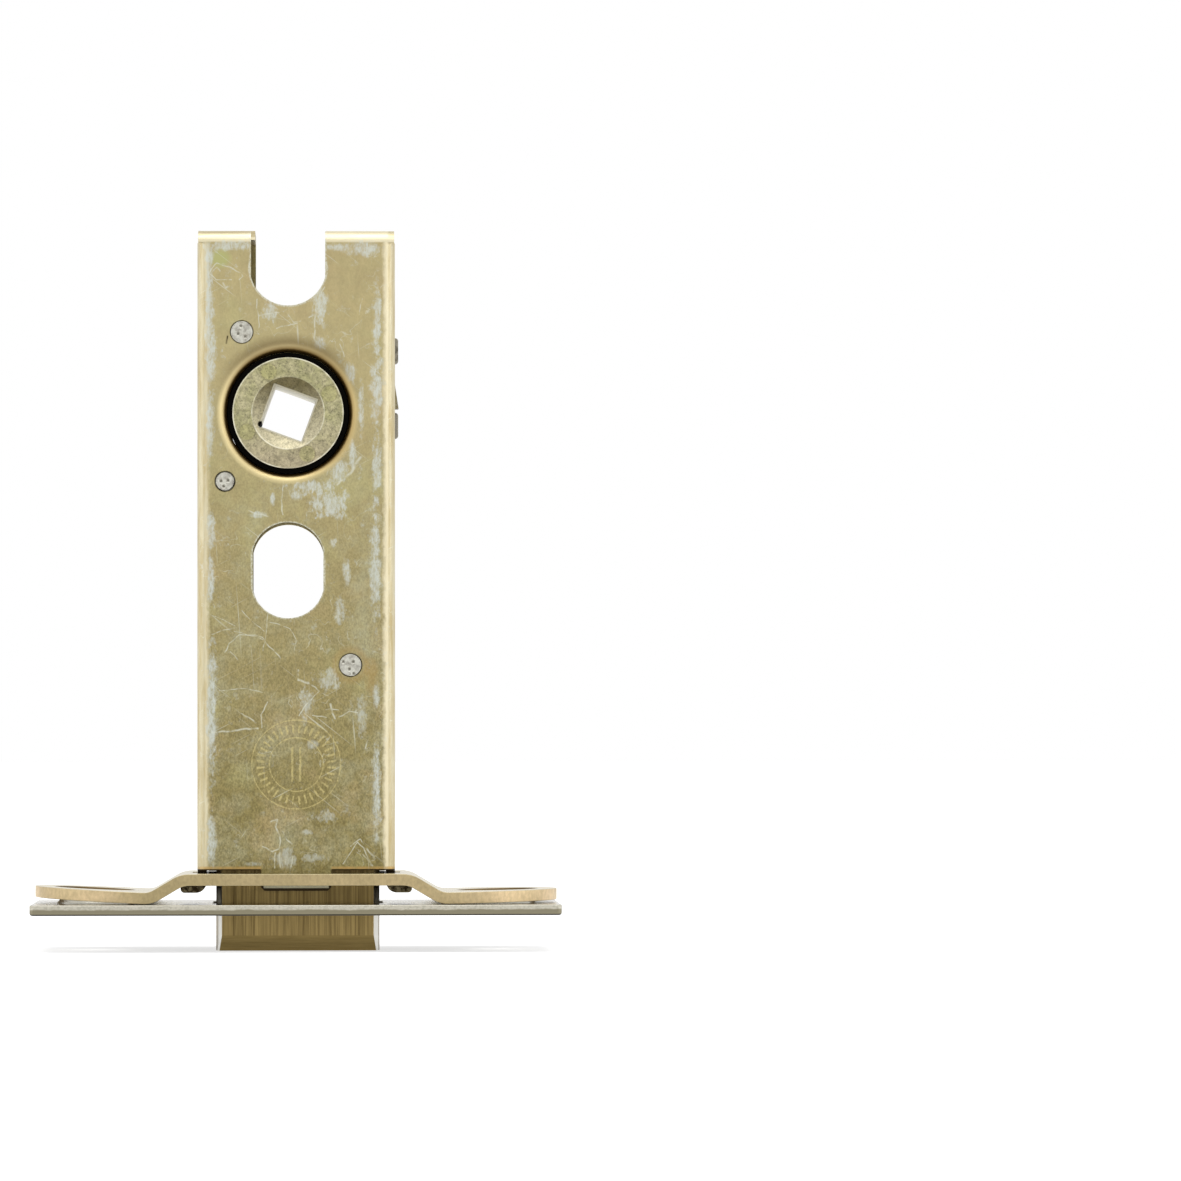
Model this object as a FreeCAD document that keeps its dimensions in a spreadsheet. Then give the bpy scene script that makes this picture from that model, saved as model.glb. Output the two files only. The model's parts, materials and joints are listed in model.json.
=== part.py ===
import FreeCAD, Part
import math
import os
import Sketcher

# Tubular bathroom deadbolt, in millimetres.
# X runs along the forend, Y is the depth of the case (the front face looks towards -Y) and Z runs
# from the forend into the door. The origin is the centre of the outer forend's outer face.

doc = FreeCAD.newDocument("bathroom_deadbolt")

# Driving sizes
# Every size that can be set by itself is one plain number in this sheet.

DRIVING_SIZES = [
    ("forend_length", 60, "outer forend plate, along X"),
    ("forend_width", 25, "outer forend plate, along Y"),
    ("forend_sheet", 1.2, "outer forend plate, thickness"),
    ("forend_corner", 0.6, "outer forend plate, corner radius"),
    ("forend_rim", 0.3, "outer forend plate, rounding round its outer face"),
    ("screw_inset", 7, "centre of a wood screw from the end of the plate"),
    ("screw_hole", 4.8, "clearance hole of a wood screw, diameter"),
    ("screw_seat", 8.3, "countersink at the outer face, diameter"),
    ("boss_height", 1.0, "pressed seat above the inner face of the plate"),
    ("boss_foot", 8.8, "pressed seat, diameter where it leaves the plate"),
    ("boss_top", 6.8, "pressed seat, diameter at its rim"),
    ("plates_gap", 0.05, "air between the two forend plates"),
    ("inner_inset", 0.2, "inner forend, short of the outer plate at each end"),
    ("inner_margin", 1.0, "inner forend, short of the outer plate at each side"),
    ("inner_sheet", 1.3, "inner forend, thickness"),
    ("wing_hole", 9.2, "hole in a wing that clears the pressed seat"),
    ("raise_height", 2.1, "how far the middle of the inner forend stands up"),
    ("raise_half", 12.7, "upper bend of the joggle from the middle"),
    ("bend_run", 3.55, "length of the sloping part of the joggle along X"),
    ("joggle_radius", 2.2, "inner radius of the joggle's bends"),
    ("left_tip_lift", 0.65, "left wing tip, bent up off the plate"),
    ("right_tip_lift", 0.27, "right wing tip, bent up off the plate"),
    ("case_gap", 0.34, "air between the inner forend and the case"),
    ("case_width", 22.5, "case, along X"),
    ("case_depth", 12, "case, along Y"),
    ("case_top", 77.8, "tail end of the case above the forend's outer face"),
    ("case_sheet", 1.0, "case sheet thickness"),
    ("case_bend", 1.4, "outer radius of the case's bends"),
    ("cover_play", 0.1, "air round the rear cover"),
    ("cover_gap", 0.06, "rear cover's foot above the inner forend"),
    ("line_shift", -0.93, "follower line from the middle of the case"),
    ("backset", 57, "follower axis above the forend's outer face"),
    ("follower_hole", 13.95, "bore of the drawn lip round the follower"),
    ("lip_wall", 0.85, "wall of the drawn lip"),
    ("lip_mouth", 1.0, "radius of the drawn lip's mouth"),
    ("lip_depth", 1.8, "depth of the drawn lip from the case's outer face"),
    ("slot_width", 8.05, "fixing slot below the follower, across its flats"),
    ("slot_radius", 4.12, "round ends of the fixing slot"),
    ("slot_upper", 16.55, "centre of its upper end below the follower axis"),
    ("slot_lower", 19.25, "centre of its lower end below the follower axis"),
    ("notch_width", 8.45, "open notch in the front at the tail end"),
    ("notch_radius", 4.37, "round bottom of the notch"),
    ("notch_centre", 16.6, "centre of the notch's round bottom above the follower axis"),
    ("tail_notch_width", 8.1, "the same notch in the tail flange and the rear cover"),
    ("tail_notch_shift", 0.3, "that notch right of the front's notch"),
    ("tenon_width", 7.95, "tenon of the front and of the cover through the inner forend"),
    ("tenon_reach", 0.7, "tenon below the underside of the inner forend"),
    ("tenon_bevel", 0.4, "bevel at the tenon's corners"),
    ("tab_width", 5.0, "clenched tab of a side wall, along Y"),
    ("tab_reach", 1.95, "clenched tab beyond the side wall"),
    ("tab_level", 0.7, "level part of a clenched tab's top beyond the side wall"),
    ("tab_droop", 0.4, "end of a clenched tab's top below its level part"),
    ("tab_end_round", 0.45, "rounded lower end of a clenched tab"),
    ("tab_play", 0.1, "air round a tab or tenon in its slot"),
    ("tab_relief", 0.6, "a tab's slot beyond the side wall, where the tab bends over"),
    ("clench_radius", 1.2, "outer radius where a tab is clenched"),
    ("pin_shoulder", 0.4, "a pin's body is this much thicker than its staked ends"),
    ("pin_play", 0.05, "air round a pin's end, on the diameter"),
    ("pin_rim", 0.1, "bevel at the rim of a staked end"),
    ("upper_pin", 2.6, "upper spring pin, diameter of its staked ends"),
    ("upper_pin_wall", 4.05, "upper spring pin from the left-hand side wall"),
    ("upper_pin_rise", 9.2, "upper spring pin above the follower axis"),
    ("lower_pin", 2.3, "lower spring pin, diameter of its staked ends"),
    ("spring_wall_gap", 0.2, "lower hook of the detent spring from the left-hand side wall"),
    ("lower_pin_drop", 7.8, "lower spring pin below the follower axis"),
    ("stop_pin", 2.6, "stop pin, diameter of its staked ends"),
    ("stop_web", 0.95, "tail left of the long hole over the stop pin"),
    ("stop_pin_height", 28.3, "stop pin above the forend's outer face"),
    ("guide_sheet", 1.0, "tail guide, thickness along Y"),
    ("guide_top", 10.0, "tail guide, top above the follower axis"),
    ("guide_bottom", 4.0, "tail guide, bottom below the follower axis"),
    ("guide_tab", 3.0, "length of each of its two tabs along Z"),
    ("upper_tab_rise", 7.5, "middle of the upper tab above the follower axis"),
    ("lower_tab_drop", 1.1, "middle of the lower tab below the follower axis"),
    ("guide_proud", 0.45, "tab ends beyond the side wall"),
    ("guide_corner", 0.36, "rounded corners of those tab ends"),
    ("barb_root", 3.65, "lanced barb, where it leaves the wall above the follower axis"),
    ("barb_length", 2.95, "lanced barb, along Z"),
    ("barb_width", 2.5, "lanced barb, along Y"),
    ("barb_proud", 0.45, "free end of the barb beyond the side wall"),
    ("bolt_side_play", 0.95, "air between the bolt head and each side wall, on average"),
    ("bolt_face_play", 0.3, "air between the bolt head and the front, and the cover"),
    ("bolt_length", 26.2, "bolt head, along Z"),
    ("bolt_shift", 0.18, "middle of the bolt head from the middle of the case along X"),
    ("bolt_proud", 4.2, "bolt end below the forend's outer face as pictured"),
    ("bolt_edge", 0.65, "bevel along the bolt head's four long edges, along X"),
    ("bolt_edge_depth", 1.6, "the same bevel, along Y"),
    ("nose_height", 1.74, "end bevel of the bolt head, along Z"),
    ("nose_depth", 0.7, "end bevel of the bolt head, along Y"),
    ("outer_play", 0.4, "air between the bolt head and the outer forend's window"),
    ("inner_play", 0.3, "air between the bolt head and the inner forend's window"),
    ("tail_sheet", 2.5, "bolt tail, thickness along Y"),
    ("tail_middle", 1.0, "bolt tail, middle of its thickness along Y"),
    ("tail_wall_gap", 0.95, "air between the tail and the right-hand side wall"),
    ("tail_slot_gap", 0.33, "tail clear of the fixing slot"),
    ("tail_neck_drop", 9.0, "the tail narrows to its neck this far below the follower axis"),
    ("tail_neck_slope", 1.0, "height of the slope where it narrows"),
    ("foot_margin", 4.5, "tail's foot left of its left rivet"),
    ("tail_foot_length", 8.0, "depth of the tail's foot in the bolt head"),
    ("tail_foot_step", 2.0, "tail's foot above the bolt head"),
    ("tail_fit", 0.05, "air round the tail's foot in the bolt head"),
    ("yoke_prong", 2.2, "height of each prong of the tail's yoke"),
    ("yoke_play", 0.38, "air above and below the crank pin in the yoke"),
    ("travel_play", 0.3, "air that keeps moving faces apart"),
    ("rivet", 2.5, "tail rivet, diameter"),
    ("rivet_spacing", 5.0, "centres of the two tail rivets"),
    ("rivet_margin", 2.8, "centre of the right rivet from the tail's right edge"),
    ("rivet_drop", 4.0, "rivets below the top of the bolt head"),
    ("hub_square", 5.0, "spindle hole, across its flats"),
    ("square_mouth", 5.4, "beveled mouth of the spindle hole, across its flats"),
    ("mouth_slope", 45, "slope of that bevel, degrees"),
    ("hub_face", 12.65, "boss that shows in the follower hole, diameter"),
    ("hub_recess", 8.25, "shallow cone in that boss, diameter"),
    ("recess_depth", 0.9, "depth of the cone"),
    ("hub_step", 0.7, "journal below the boss's face"),
    ("journal_play", 0.1, "air round the journal in the drawn lip"),
    ("hub_barrel", 13.0, "barrel between the journals, diameter"),
    ("barrel_front", -3.9, "front end of the barrel along Y"),
    ("barrel_rear", -0.6, "rear end of the barrel along Y"),
    ("hub_neck", 10.2, "neck of the follower beside the tail, diameter"),
    ("hub_flange_front", 2.6, "front end of the rear flange along Y"),
    ("yoke_web", 0.83, "tail right of the crank pin's way"),
    ("crank_pin", 2.2, "crank pin, diameter"),
    ("crank_end", 3.2, "rounded end of the crank arm, diameter"),
    ("crank_front", -3.4, "front of the crank arm along Y"),
    ("turn_back", 20, "follower turn from the pictured pose back to the unlocked end, degrees"),
    ("turn_on", 70, "follower turn from the pictured pose on to the locked end, degrees"),
    ("spring_sheet", 0.5, "detent spring, thickness"),
    ("spring_front", -3.5, "detent spring, front edge along Y"),
    ("spring_width", 5.5, "detent spring, along Y"),
    ("spring_play", 0.1, "air between the spring's hooks and their pins"),
    ("cut_margin", 1.0, "how far a cutting outline runs past the piece"),
]

# Places worked out from the driving sizes

WORKED_PLACES = [
    ("wing_low", "Size.forend_sheet + Size.plates_gap"),
    ("raise_low", "Place.wing_low + Size.raise_height"),
    ("raise_high", "Place.raise_low + Size.inner_sheet"),
    ("case_foot", "Place.raise_high + Size.case_gap"),
    ("half_case", "Size.case_width / 2"),
    ("half_depth", "Size.case_depth / 2"),
    ("wall_in", "Place.half_case - Size.case_sheet"),
    ("front_in", "Size.case_sheet - Place.half_depth"),
    ("rear_in", "Place.half_depth - Size.case_sheet"),
    ("channel_top", "Size.case_top - Size.case_bend"),
    ("line", "Size.line_shift"),
    ("axis", "Size.backset"),
    ("inner_length", "Size.forend_length - 2 * Size.inner_inset"),
    ("inner_width", "Size.forend_width - 2 * Size.inner_margin"),
    ("screw_spacing", "Size.forend_length - 2 * Size.screw_inset"),
    ("bolt_width", "2 * (Place.wall_in - Size.bolt_side_play)"),
    ("bolt_depth", "Size.case_depth - 2 * Size.case_sheet - 2 * Size.bolt_face_play"),
    ("tail_right", "Place.wall_in - Size.tail_wall_gap"),
    ("tail_strip_left", "Place.line + Size.slot_width / 2 + Size.tail_slot_gap"),
    ("tail_neck_left", "Place.line + Size.hub_neck / 2 + Size.travel_play"),
    ("tail_neck_bottom", "Place.axis - Size.tail_neck_drop"),
    ("rivet_right", "Place.tail_right - Size.rivet_margin"),
    ("rivet_left", "Place.rivet_right - Size.rivet_spacing"),
    ("tail_foot_left", "Place.rivet_left - Size.foot_margin"),
    ("crank_radius", "Place.tail_right - Size.yoke_web - Size.travel_play - Size.crank_pin / 2 - Place.line"),
    ("notch_round", "Place.axis + Size.notch_centre"),
    ("full_turn", "Size.turn_back + Size.turn_on"),
    ("full_throw", "2 * Place.crank_radius * sin(Place.full_turn / 2)"),
    ("throw_back", "Place.full_throw * Size.turn_back / Place.full_turn"),
    ("throw_on", "Place.full_throw * Size.turn_on / Place.full_turn"),
    ("crank_turn", "Place.full_turn / 2 - Size.turn_back"),
    ("crank_x", "Place.line + Place.crank_radius * cos(Place.crank_turn)"),
    ("crank_z", "Place.axis + Place.crank_radius * sin(Place.crank_turn)"),
    ("yoke_z", "Place.axis + Place.full_throw / 2 - Place.throw_back"),
    ("yoke_half", "Size.crank_pin / 2 + Size.yoke_play"),
    ("yoke_right", "Place.tail_right - Size.yoke_web"),
    ("tail_front", "Size.tail_middle - Size.tail_sheet / 2"),
    ("tail_rear", "Size.tail_middle + Size.tail_sheet / 2"),
    ("bolt_top", "Size.bolt_length - Size.bolt_proud"),
    ("journal", "Size.follower_hole - 2 * Size.journal_play"),
    ("guide_front", "Place.tail_rear + Size.travel_play + Size.tail_fit"),
    ("guide_inner", "Place.line + Place.journal / 2 + 2 * Size.travel_play"),
    ("stop_body", "Size.stop_pin + Size.pin_shoulder"),
    ("stop_way", "Place.stop_body + 2 * Size.travel_play"),
    ("upper_hook", "(Size.upper_pin + Size.pin_shoulder) / 2 + Size.spring_play"),
    ("lower_hook", "(Size.lower_pin + Size.pin_shoulder) / 2 + Size.spring_play"),
    ("upper_pin_x", "Size.upper_pin_wall - Place.wall_in"),
    ("lower_pin_x", "Size.spring_wall_gap + Size.spring_sheet + Place.lower_hook - Place.wall_in"),
    ("stop_pin_x", "Place.tail_strip_left + Size.stop_web + Place.stop_way / 2"),
    ("spring_bow", "Size.hub_barrel / 2 + Size.travel_play"),
]


def fill_sheet(name, rows):
    """A sheet with one aliased cell for each row, and what it means beside it."""
    sheet = doc.addObject("Spreadsheet::Sheet", name)
    for number, row in enumerate(rows, start=1):
        sheet.set(f"A{number}", row[0])
        sheet.set(f"B{number}", str(row[1]))
        sheet.setAlias(f"B{number}", row[0])
        if len(row) > 2:
            sheet.set(f"C{number}", row[2])
    return sheet


size_sheet = fill_sheet("Size", DRIVING_SIZES)
place_sheet = fill_sheet("Place", [(alias, "=" + formula) for alias, formula in WORKED_PLACES])
doc.recompute()


def value(expression):
    """The number that an expression of the two sheets gives now."""
    return float(size_sheet.evalExpression(str(expression)))


# Sketches

PLANES = {"XY": "XY_Plane", "XZ": "XZ_Plane", "YZ": "YZ_Plane"}
ORIGIN_POINT = (-1, 1)


def new_body(label):
    body = doc.addObject("PartDesign::Body", label)
    body.Label = label
    return body


def new_sketch(body, name, plane, offset):
    """A sketch on one of the body's own origin planes, moved along that plane's global axis."""
    sketch = body.newObject("Sketcher::SketchObject", name)
    support = [item for item in body.Origin.OriginFeatures if item.Role == PLANES[plane]][0]
    sketch.AttachmentSupport = (support, [""])
    sketch.MapMode = "FlatFace"
    sign = "-" if plane == "XZ" else ""
    sketch.setExpression("AttachmentOffset.Base.z", f"{sign}({offset})")
    return sketch


def bind(sketch, kind, *target):
    """A dimension of the sketch that follows an expression, the last item of target."""
    expression = target[-1]
    index = sketch.addConstraint(Sketcher.Constraint(kind, *target[:-1], value(expression)))
    sketch.setExpression(f"Constraints[{index}]", str(expression))


def bind_point(sketch, geometry, end, x, y):
    bind(sketch, "DistanceX", *ORIGIN_POINT, geometry, end, x)
    bind(sketch, "DistanceY", *ORIGIN_POINT, geometry, end, y)


def flat(x, y):
    return FreeCAD.Vector(x, y, 0)


def arc_between(start, end, radius):
    """The short arc from start to end. It bulges to the right of the way for a positive radius."""
    chord = end - start
    middle = (start + end) / 2
    left = flat(-chord.y, chord.x).normalize()
    rise = math.sqrt(radius * radius - chord.Length * chord.Length / 4)
    centre = middle + left * math.copysign(rise, radius)
    circle = Part.Circle(centre, FreeCAD.Vector(0, 0, 1), abs(radius))
    start_angle = math.atan2(start.y - centre.y, start.x - centre.x)
    end_angle = math.atan2(end.y - centre.y, end.x - centre.x)
    if radius > 0:
        return Part.ArcOfCircle(circle, start_angle, end_angle)
    return Part.ArcOfCircle(circle, end_angle, start_angle)


def outline(*corners):
    """A closed outline. A corner is (x, y), or (x, y, radius, side) if an arc leaves it.

    The arc bulges to the right of the way for side 1 and to the left for side -1.
    """

    def draw(sketch):
        points = [flat(value(corner[0]), value(corner[1])) for corner in corners]
        ends = []
        for number, corner in enumerate(corners):
            start = points[number]
            end = points[(number + 1) % len(points)]
            if len(corner) == 4:
                edge = sketch.addGeometry(arc_between(start, end, corner[3] * value(corner[2])))
                bind(sketch, "Radius", edge, corner[2])
                ends.append((edge, 1, 2) if corner[3] > 0 else (edge, 2, 1))
            else:
                edge = sketch.addGeometry(Part.LineSegment(start, end))
                ends.append((edge, 1, 2))
        for number, (edge, first, last) in enumerate(ends):
            following = ends[(number + 1) % len(ends)]
            sketch.addConstraint(Sketcher.Constraint("Coincident", edge, last, following[0], following[1]))
            bind_point(sketch, edge, first, corners[number][0], corners[number][1])

    return draw


def rectangle(x_low, x_high, y_low, y_high):
    return outline((x_low, y_low), (x_high, y_low), (x_high, y_high), (x_low, y_high))


def disc(x, y, diameter):
    def draw(sketch):
        centre = flat(value(x), value(y))
        edge = sketch.addGeometry(Part.Circle(centre, FreeCAD.Vector(0, 0, 1), value(diameter) / 2))
        bind_point(sketch, edge, 3, x, y)
        bind(sketch, "Radius", edge, f"({diameter}) / 2")

    return draw


def long_hole(x_first, y_first, x_last, y_last, width):
    """Two half circles round two centres, joined by two tangent lines."""

    def draw(sketch):
        first = flat(value(x_first), value(y_first))
        last = flat(value(x_last), value(y_last))
        radius = value(width) / 2
        way = math.atan2(last.y - first.y, last.x - first.x)
        side = flat(-math.sin(way), math.cos(way)) * radius
        up = FreeCAD.Vector(0, 0, 1)
        start = sketch.addGeometry(
            Part.ArcOfCircle(Part.Circle(first, up, radius), way + math.pi / 2, way + 3 * math.pi / 2)
        )
        right = sketch.addGeometry(Part.LineSegment(first - side, last - side))
        end = sketch.addGeometry(
            Part.ArcOfCircle(Part.Circle(last, up, radius), way - math.pi / 2, way + math.pi / 2)
        )
        left = sketch.addGeometry(Part.LineSegment(last + side, first + side))
        for edge, next_edge in ((start, right), (right, end), (end, left), (left, start)):
            sketch.addConstraint(Sketcher.Constraint("Tangent", edge, 2, next_edge, 1))
        bind_point(sketch, start, 3, x_first, y_first)
        bind_point(sketch, end, 3, x_last, y_last)
        bind(sketch, "Radius", start, f"({width}) / 2")

    return draw


def together(*draws):
    """Several closed outlines in one sketch."""

    def draw(sketch):
        for part in draws:
            part(sketch)

    return draw


# Features

def check_change(body, name, before, grows):
    """A feature that adds or takes nothing is a fault, and the volume shows it."""
    doc.recompute()
    change = body.Shape.Volume - before
    if (change < 1e-4) if grows else (change > -1e-4):
        raise RuntimeError(f"{body.Label}: {name} changed the volume by {change:.4f}")


def volume_of(body):
    return 0.0 if body.Shape.isNull() else body.Shape.Volume


def add(body, name, plane, low, high, draw):
    """Material from low to high along the axis that crosses the plane."""
    before = volume_of(body)
    sketch = new_sketch(body, name + "_sketch", plane, low)
    draw(sketch)
    pad = body.newObject("PartDesign::Pad", name)
    pad.Profile = sketch
    pad.Reversed = plane == "XZ"
    pad.setExpression("Length", f"({high}) - ({low})")
    check_change(body, name, before, True)
    return pad


def cut(body, name, plane, low, high, draw, taper=None):
    """A pocket from low to high along the axis that crosses the plane."""
    before = volume_of(body)
    sketch = new_sketch(body, name + "_sketch", plane, low)
    draw(sketch)
    pocket = body.newObject("PartDesign::Pocket", name)
    pocket.Profile = sketch
    pocket.Reversed = plane != "XZ"
    pocket.setExpression("Length", f"({high}) - ({low})")
    if taper:
        pocket.setExpression("TaperAngle", taper)
    check_change(body, name, before, False)
    return pocket


def is_near(number, expression):
    return abs(number - value(expression)) < 1e-3


def edges_where(body, test):
    """Names of the edges whose bounding box passes the test."""
    return [
        f"Edge{number}"
        for number, edge in enumerate(body.Shape.Edges, start=1)
        if test(edge.BoundBox)
    ]


def treat_edges(body, name, kind, size, test):
    """A fillet or a chamfer on every edge whose bounding box passes the test."""
    edges = edges_where(body, test)
    if not edges:
        raise RuntimeError(f"{body.Label}: {name} finds no edge")
    base = body.Tip
    feature = body.newObject("PartDesign::" + kind, name)
    feature.Base = (base, edges)
    feature.setExpression("Radius" if kind == "Fillet" else "Size", size)
    doc.recompute()


def round_edges(body, name, radius, test):
    treat_edges(body, name, "Fillet", radius, test)


def bevel_edges(body, name, size, test):
    treat_edges(body, name, "Chamfer", size, test)


def stands_up(box):
    """An upright edge, along Z."""
    return box.XLength < 1e-3 and box.YLength < 1e-3 and box.ZLength > 1e-3


def mirror_across_middle(body, name, features):
    before = volume_of(body)
    mirrored = body.newObject("PartDesign::Mirrored", name)
    mirrored.Originals = features
    plane = [item for item in body.Origin.OriginFeatures if item.Role == "YZ_Plane"][0]
    mirrored.MirrorPlane = (plane, [""])
    body.Tip = mirrored
    doc.recompute()
    if abs(body.Shape.Volume - before) < 1e-4:
        raise RuntimeError(f"{body.Label}: {name} changes nothing")
    return mirrored


# Outer forend: the plate that shows in the door's edge, with two seats pressed inwards for the
# heads of countersunk wood screws and a window for the bolt head.

def turned_about_screw(body, name, kind, *corners):
    """A solid or a groove turned about the right-hand screw's axis."""
    before = volume_of(body)
    sketch = new_sketch(body, name + "_sketch", "XZ", "0")
    outline(*corners)(sketch)
    middle = value("Place.screw_spacing / 2")
    top = value("Size.forend_sheet")
    axis = sketch.addGeometry(Part.LineSegment(flat(middle, 0), flat(middle, top)), True)
    bind_point(sketch, axis, 1, "Place.screw_spacing / 2", "0")
    bind_point(sketch, axis, 2, "Place.screw_spacing / 2", "Size.forend_sheet")
    turned = body.newObject("PartDesign::" + kind, name)
    turned.Profile = sketch
    turned.ReferenceAxis = (sketch, ["Axis0"])
    turned.Angle = 360
    check_change(body, name, before, kind == "Revolution")
    return turned


def make_outer_forend():
    body = new_body("outer_forend")
    half_length = "Size.forend_length / 2"
    half_width = "Size.forend_width / 2"
    add(body, "plate", "XY", "0", "Size.forend_sheet",
        rectangle(f"-{half_length}", half_length, f"-{half_width}", half_width))
    round_edges(body, "plate_corners", "Size.forend_corner", stands_up)

    def on_outer_face(box):
        return abs(box.ZMin) < 1e-3 and abs(box.ZMax) < 1e-3

    round_edges(body, "outer_rim", "Size.forend_rim", on_outer_face)
    window_x = "(Place.bolt_width / 2 + Size.outer_play)"
    window_y = "(Place.bolt_depth / 2 + Size.outer_play)"
    cut(body, "bolt_window", "XY", "0", "Size.forend_sheet", rectangle(
        f"Size.bolt_shift - {window_x}", f"Size.bolt_shift + {window_x}", f"-{window_y}", window_y,
    ))
    screw = "Place.screw_spacing / 2"
    rim = "(Size.forend_sheet + Size.boss_height)"
    seat = turned_about_screw(
        body, "pressed_seat", "Revolution",
        (screw, "Size.forend_sheet / 2"),
        (f"{screw} + Size.boss_foot / 2", "Size.forend_sheet / 2"),
        (f"{screw} + Size.boss_foot / 2", "Size.forend_sheet"),
        (f"{screw} + Size.boss_top / 2", rim),
        (screw, rim),
    )
    cone_depth = "((Size.screw_seat - Size.screw_hole) / 2)"
    hole = turned_about_screw(
        body, "screw_hole", "Groove",
        (screw, "0"),
        (f"{screw} + Size.screw_seat / 2", "0"),
        (f"{screw} + Size.screw_hole / 2", cone_depth),
        (f"{screw} + Size.screw_hole / 2", rim),
        (screw, rim),
    )
    mirror_across_middle(body, "other_screw", [seat, hole])
    return body


# Inner forend: a strip with full round ends, joggled so that its middle stands clear of the
# outer plate. The case's tenons and tabs go through its middle, and its wings have large holes.

def make_inner_forend():
    body = new_body("inner_forend")
    half_length = "Place.inner_length / 2"
    half_width = "Place.inner_width / 2"
    sheet = "Size.inner_sheet"
    low = "Place.wing_low"
    bend_out = "(Size.raise_half + Size.bend_run)"
    bend_in = "Size.raise_half"
    shift = "(Size.inner_sheet * tan(atan(Size.raise_height / Size.bend_run) / 2))"
    add(body, "joggled_strip", "XZ", f"-{half_width}", half_width, outline(
        (f"-{half_length}", f"{low} + Size.left_tip_lift"),
        (f"-{bend_out}", low),
        (f"-{bend_in}", "Place.raise_low"),
        (bend_in, "Place.raise_low"),
        (bend_out, low),
        (half_length, f"{low} + Size.right_tip_lift"),
        (half_length, f"{low} + Size.right_tip_lift + {sheet}"),
        (f"{bend_out} + {shift}", f"{low} + {sheet}"),
        (f"{bend_in} + {shift}", "Place.raise_high"),
        (f"-{bend_in} - {shift}", "Place.raise_high"),
        (f"-{bend_out} - {shift}", f"{low} + {sheet}"),
        (f"-{half_length}", f"{low} + Size.left_tip_lift + {sheet}"),
    ))

    def along_depth(box):
        return box.XLength < 1e-3 and box.ZLength < 1e-3

    def inner_bend(box):
        lower = is_near(abs(box.XMin), f"{bend_out} + {shift}")
        upper = is_near(abs(box.XMin), bend_in) and is_near(box.ZMin, "Place.raise_low")
        return along_depth(box) and (lower or upper)

    def outer_bend(box):
        lower = is_near(abs(box.XMin), bend_out)
        upper = is_near(abs(box.XMin), f"{bend_in} + {shift}") and is_near(box.ZMin, "Place.raise_high")
        return along_depth(box) and (lower or upper)

    round_edges(body, "inner_bends", "Size.joggle_radius", inner_bend)
    round_edges(body, "outer_bends", "Size.joggle_radius + Size.inner_sheet", outer_bend)
    ends = f"({half_length} - {half_width})"
    past_end = f"({half_length} + Size.cut_margin)"
    past_side = f"({half_width} + Size.cut_margin)"
    below = "0"
    above = "Place.raise_high + Size.cut_margin"
    cut(body, "round_ends", "XY", below, above, together(
        rectangle(f"-{past_end}", past_end, f"-{past_side}", past_side),
        long_hole(f"-{ends}", "0", ends, "0", "Place.inner_width"),
    ))
    screw = "Place.screw_spacing / 2"
    cut(body, "wing_holes", "XY", below, above, together(
        disc(f"-{screw}", "0", "Size.wing_hole"),
        disc(screw, "0", "Size.wing_hole"),
    ))
    window_x = "(Place.bolt_width / 2 + Size.inner_play)"
    window_y = "(Place.bolt_depth / 2 + Size.inner_play)"
    tenon_x = "(Size.tenon_width / 2 + Size.tab_play)"
    tenon_y = "(Place.half_depth + Size.tab_play)"
    cut(body, "bolt_window", "XY", below, above, rectangle(
        f"Size.bolt_shift - {window_x}", f"Size.bolt_shift + {window_x}", f"-{window_y}", window_y,
    ))
    cut(body, "tenon_slots", "XY", below, above,
        rectangle(f"-{tenon_x}", tenon_x, f"-{tenon_y}", tenon_y))
    tab_in = "(Place.wall_in - Size.tab_play)"
    tab_out = "(Place.half_case + Size.tab_relief)"
    tab_y = "(Size.tab_width / 2 + Size.tab_play)"
    cut(body, "tab_slots", "XY", below, above, together(
        rectangle(tab_in, tab_out, f"-{tab_y}", tab_y),
        rectangle(f"-{tab_out}", f"-{tab_in}", f"-{tab_y}", tab_y),
    ))
    return body


# Case front: one folded sheet with a front, two side walls and a tail flange. Its foot has a
# tenon and two tabs that are clenched outwards under the inner forend.

def follower_lip_outer():
    return "(Size.follower_hole + 2 * Size.lip_wall)"


def round_lip_mouth(body, face, inward):
    """A quarter round turned about the follower axis, where the sheet is drawn into the lip."""
    before = volume_of(body)
    sketch = new_sketch(body, "lip_mouth_sketch", "YZ", "Place.line")
    bore = "Place.axis + Size.follower_hole / 2"
    depth = f"({face}) + {inward} * Size.lip_mouth"
    rim = f"{bore} + Size.lip_mouth"
    if inward > 0:
        outline((face, bore), (depth, bore, "Size.lip_mouth", -1), (face, rim))(sketch)
    else:
        outline((face, bore), (face, rim, "Size.lip_mouth", -1), (depth, bore))(sketch)
    start = flat(0, value("Place.axis"))
    end = flat(value("Place.half_depth"), value("Place.axis"))
    axis = sketch.addGeometry(Part.LineSegment(start, end), True)
    bind_point(sketch, axis, 1, "0", "Place.axis")
    bind_point(sketch, axis, 2, "Place.half_depth", "Place.axis")
    groove = body.newObject("PartDesign::Groove", "lip_mouth")
    groove.Profile = sketch
    groove.ReferenceAxis = (sketch, ["Axis0"])
    groove.Angle = 360
    check_change(body, "lip_mouth", before, False)


def slot_outline():
    half = "Size.slot_width / 2"
    rise = f"sqrt(Size.slot_radius ^ 2 - ({half}) ^ 2)"
    upper = f"Place.axis - Size.slot_upper + {rise}"
    lower = f"Place.axis - Size.slot_lower - {rise}"
    return outline(
        (f"Place.line - {half}", lower, "Size.slot_radius", 1),
        (f"Place.line + {half}", lower),
        (f"Place.line + {half}", upper, "Size.slot_radius", 1),
        (f"Place.line - {half}", upper),
    )


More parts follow.
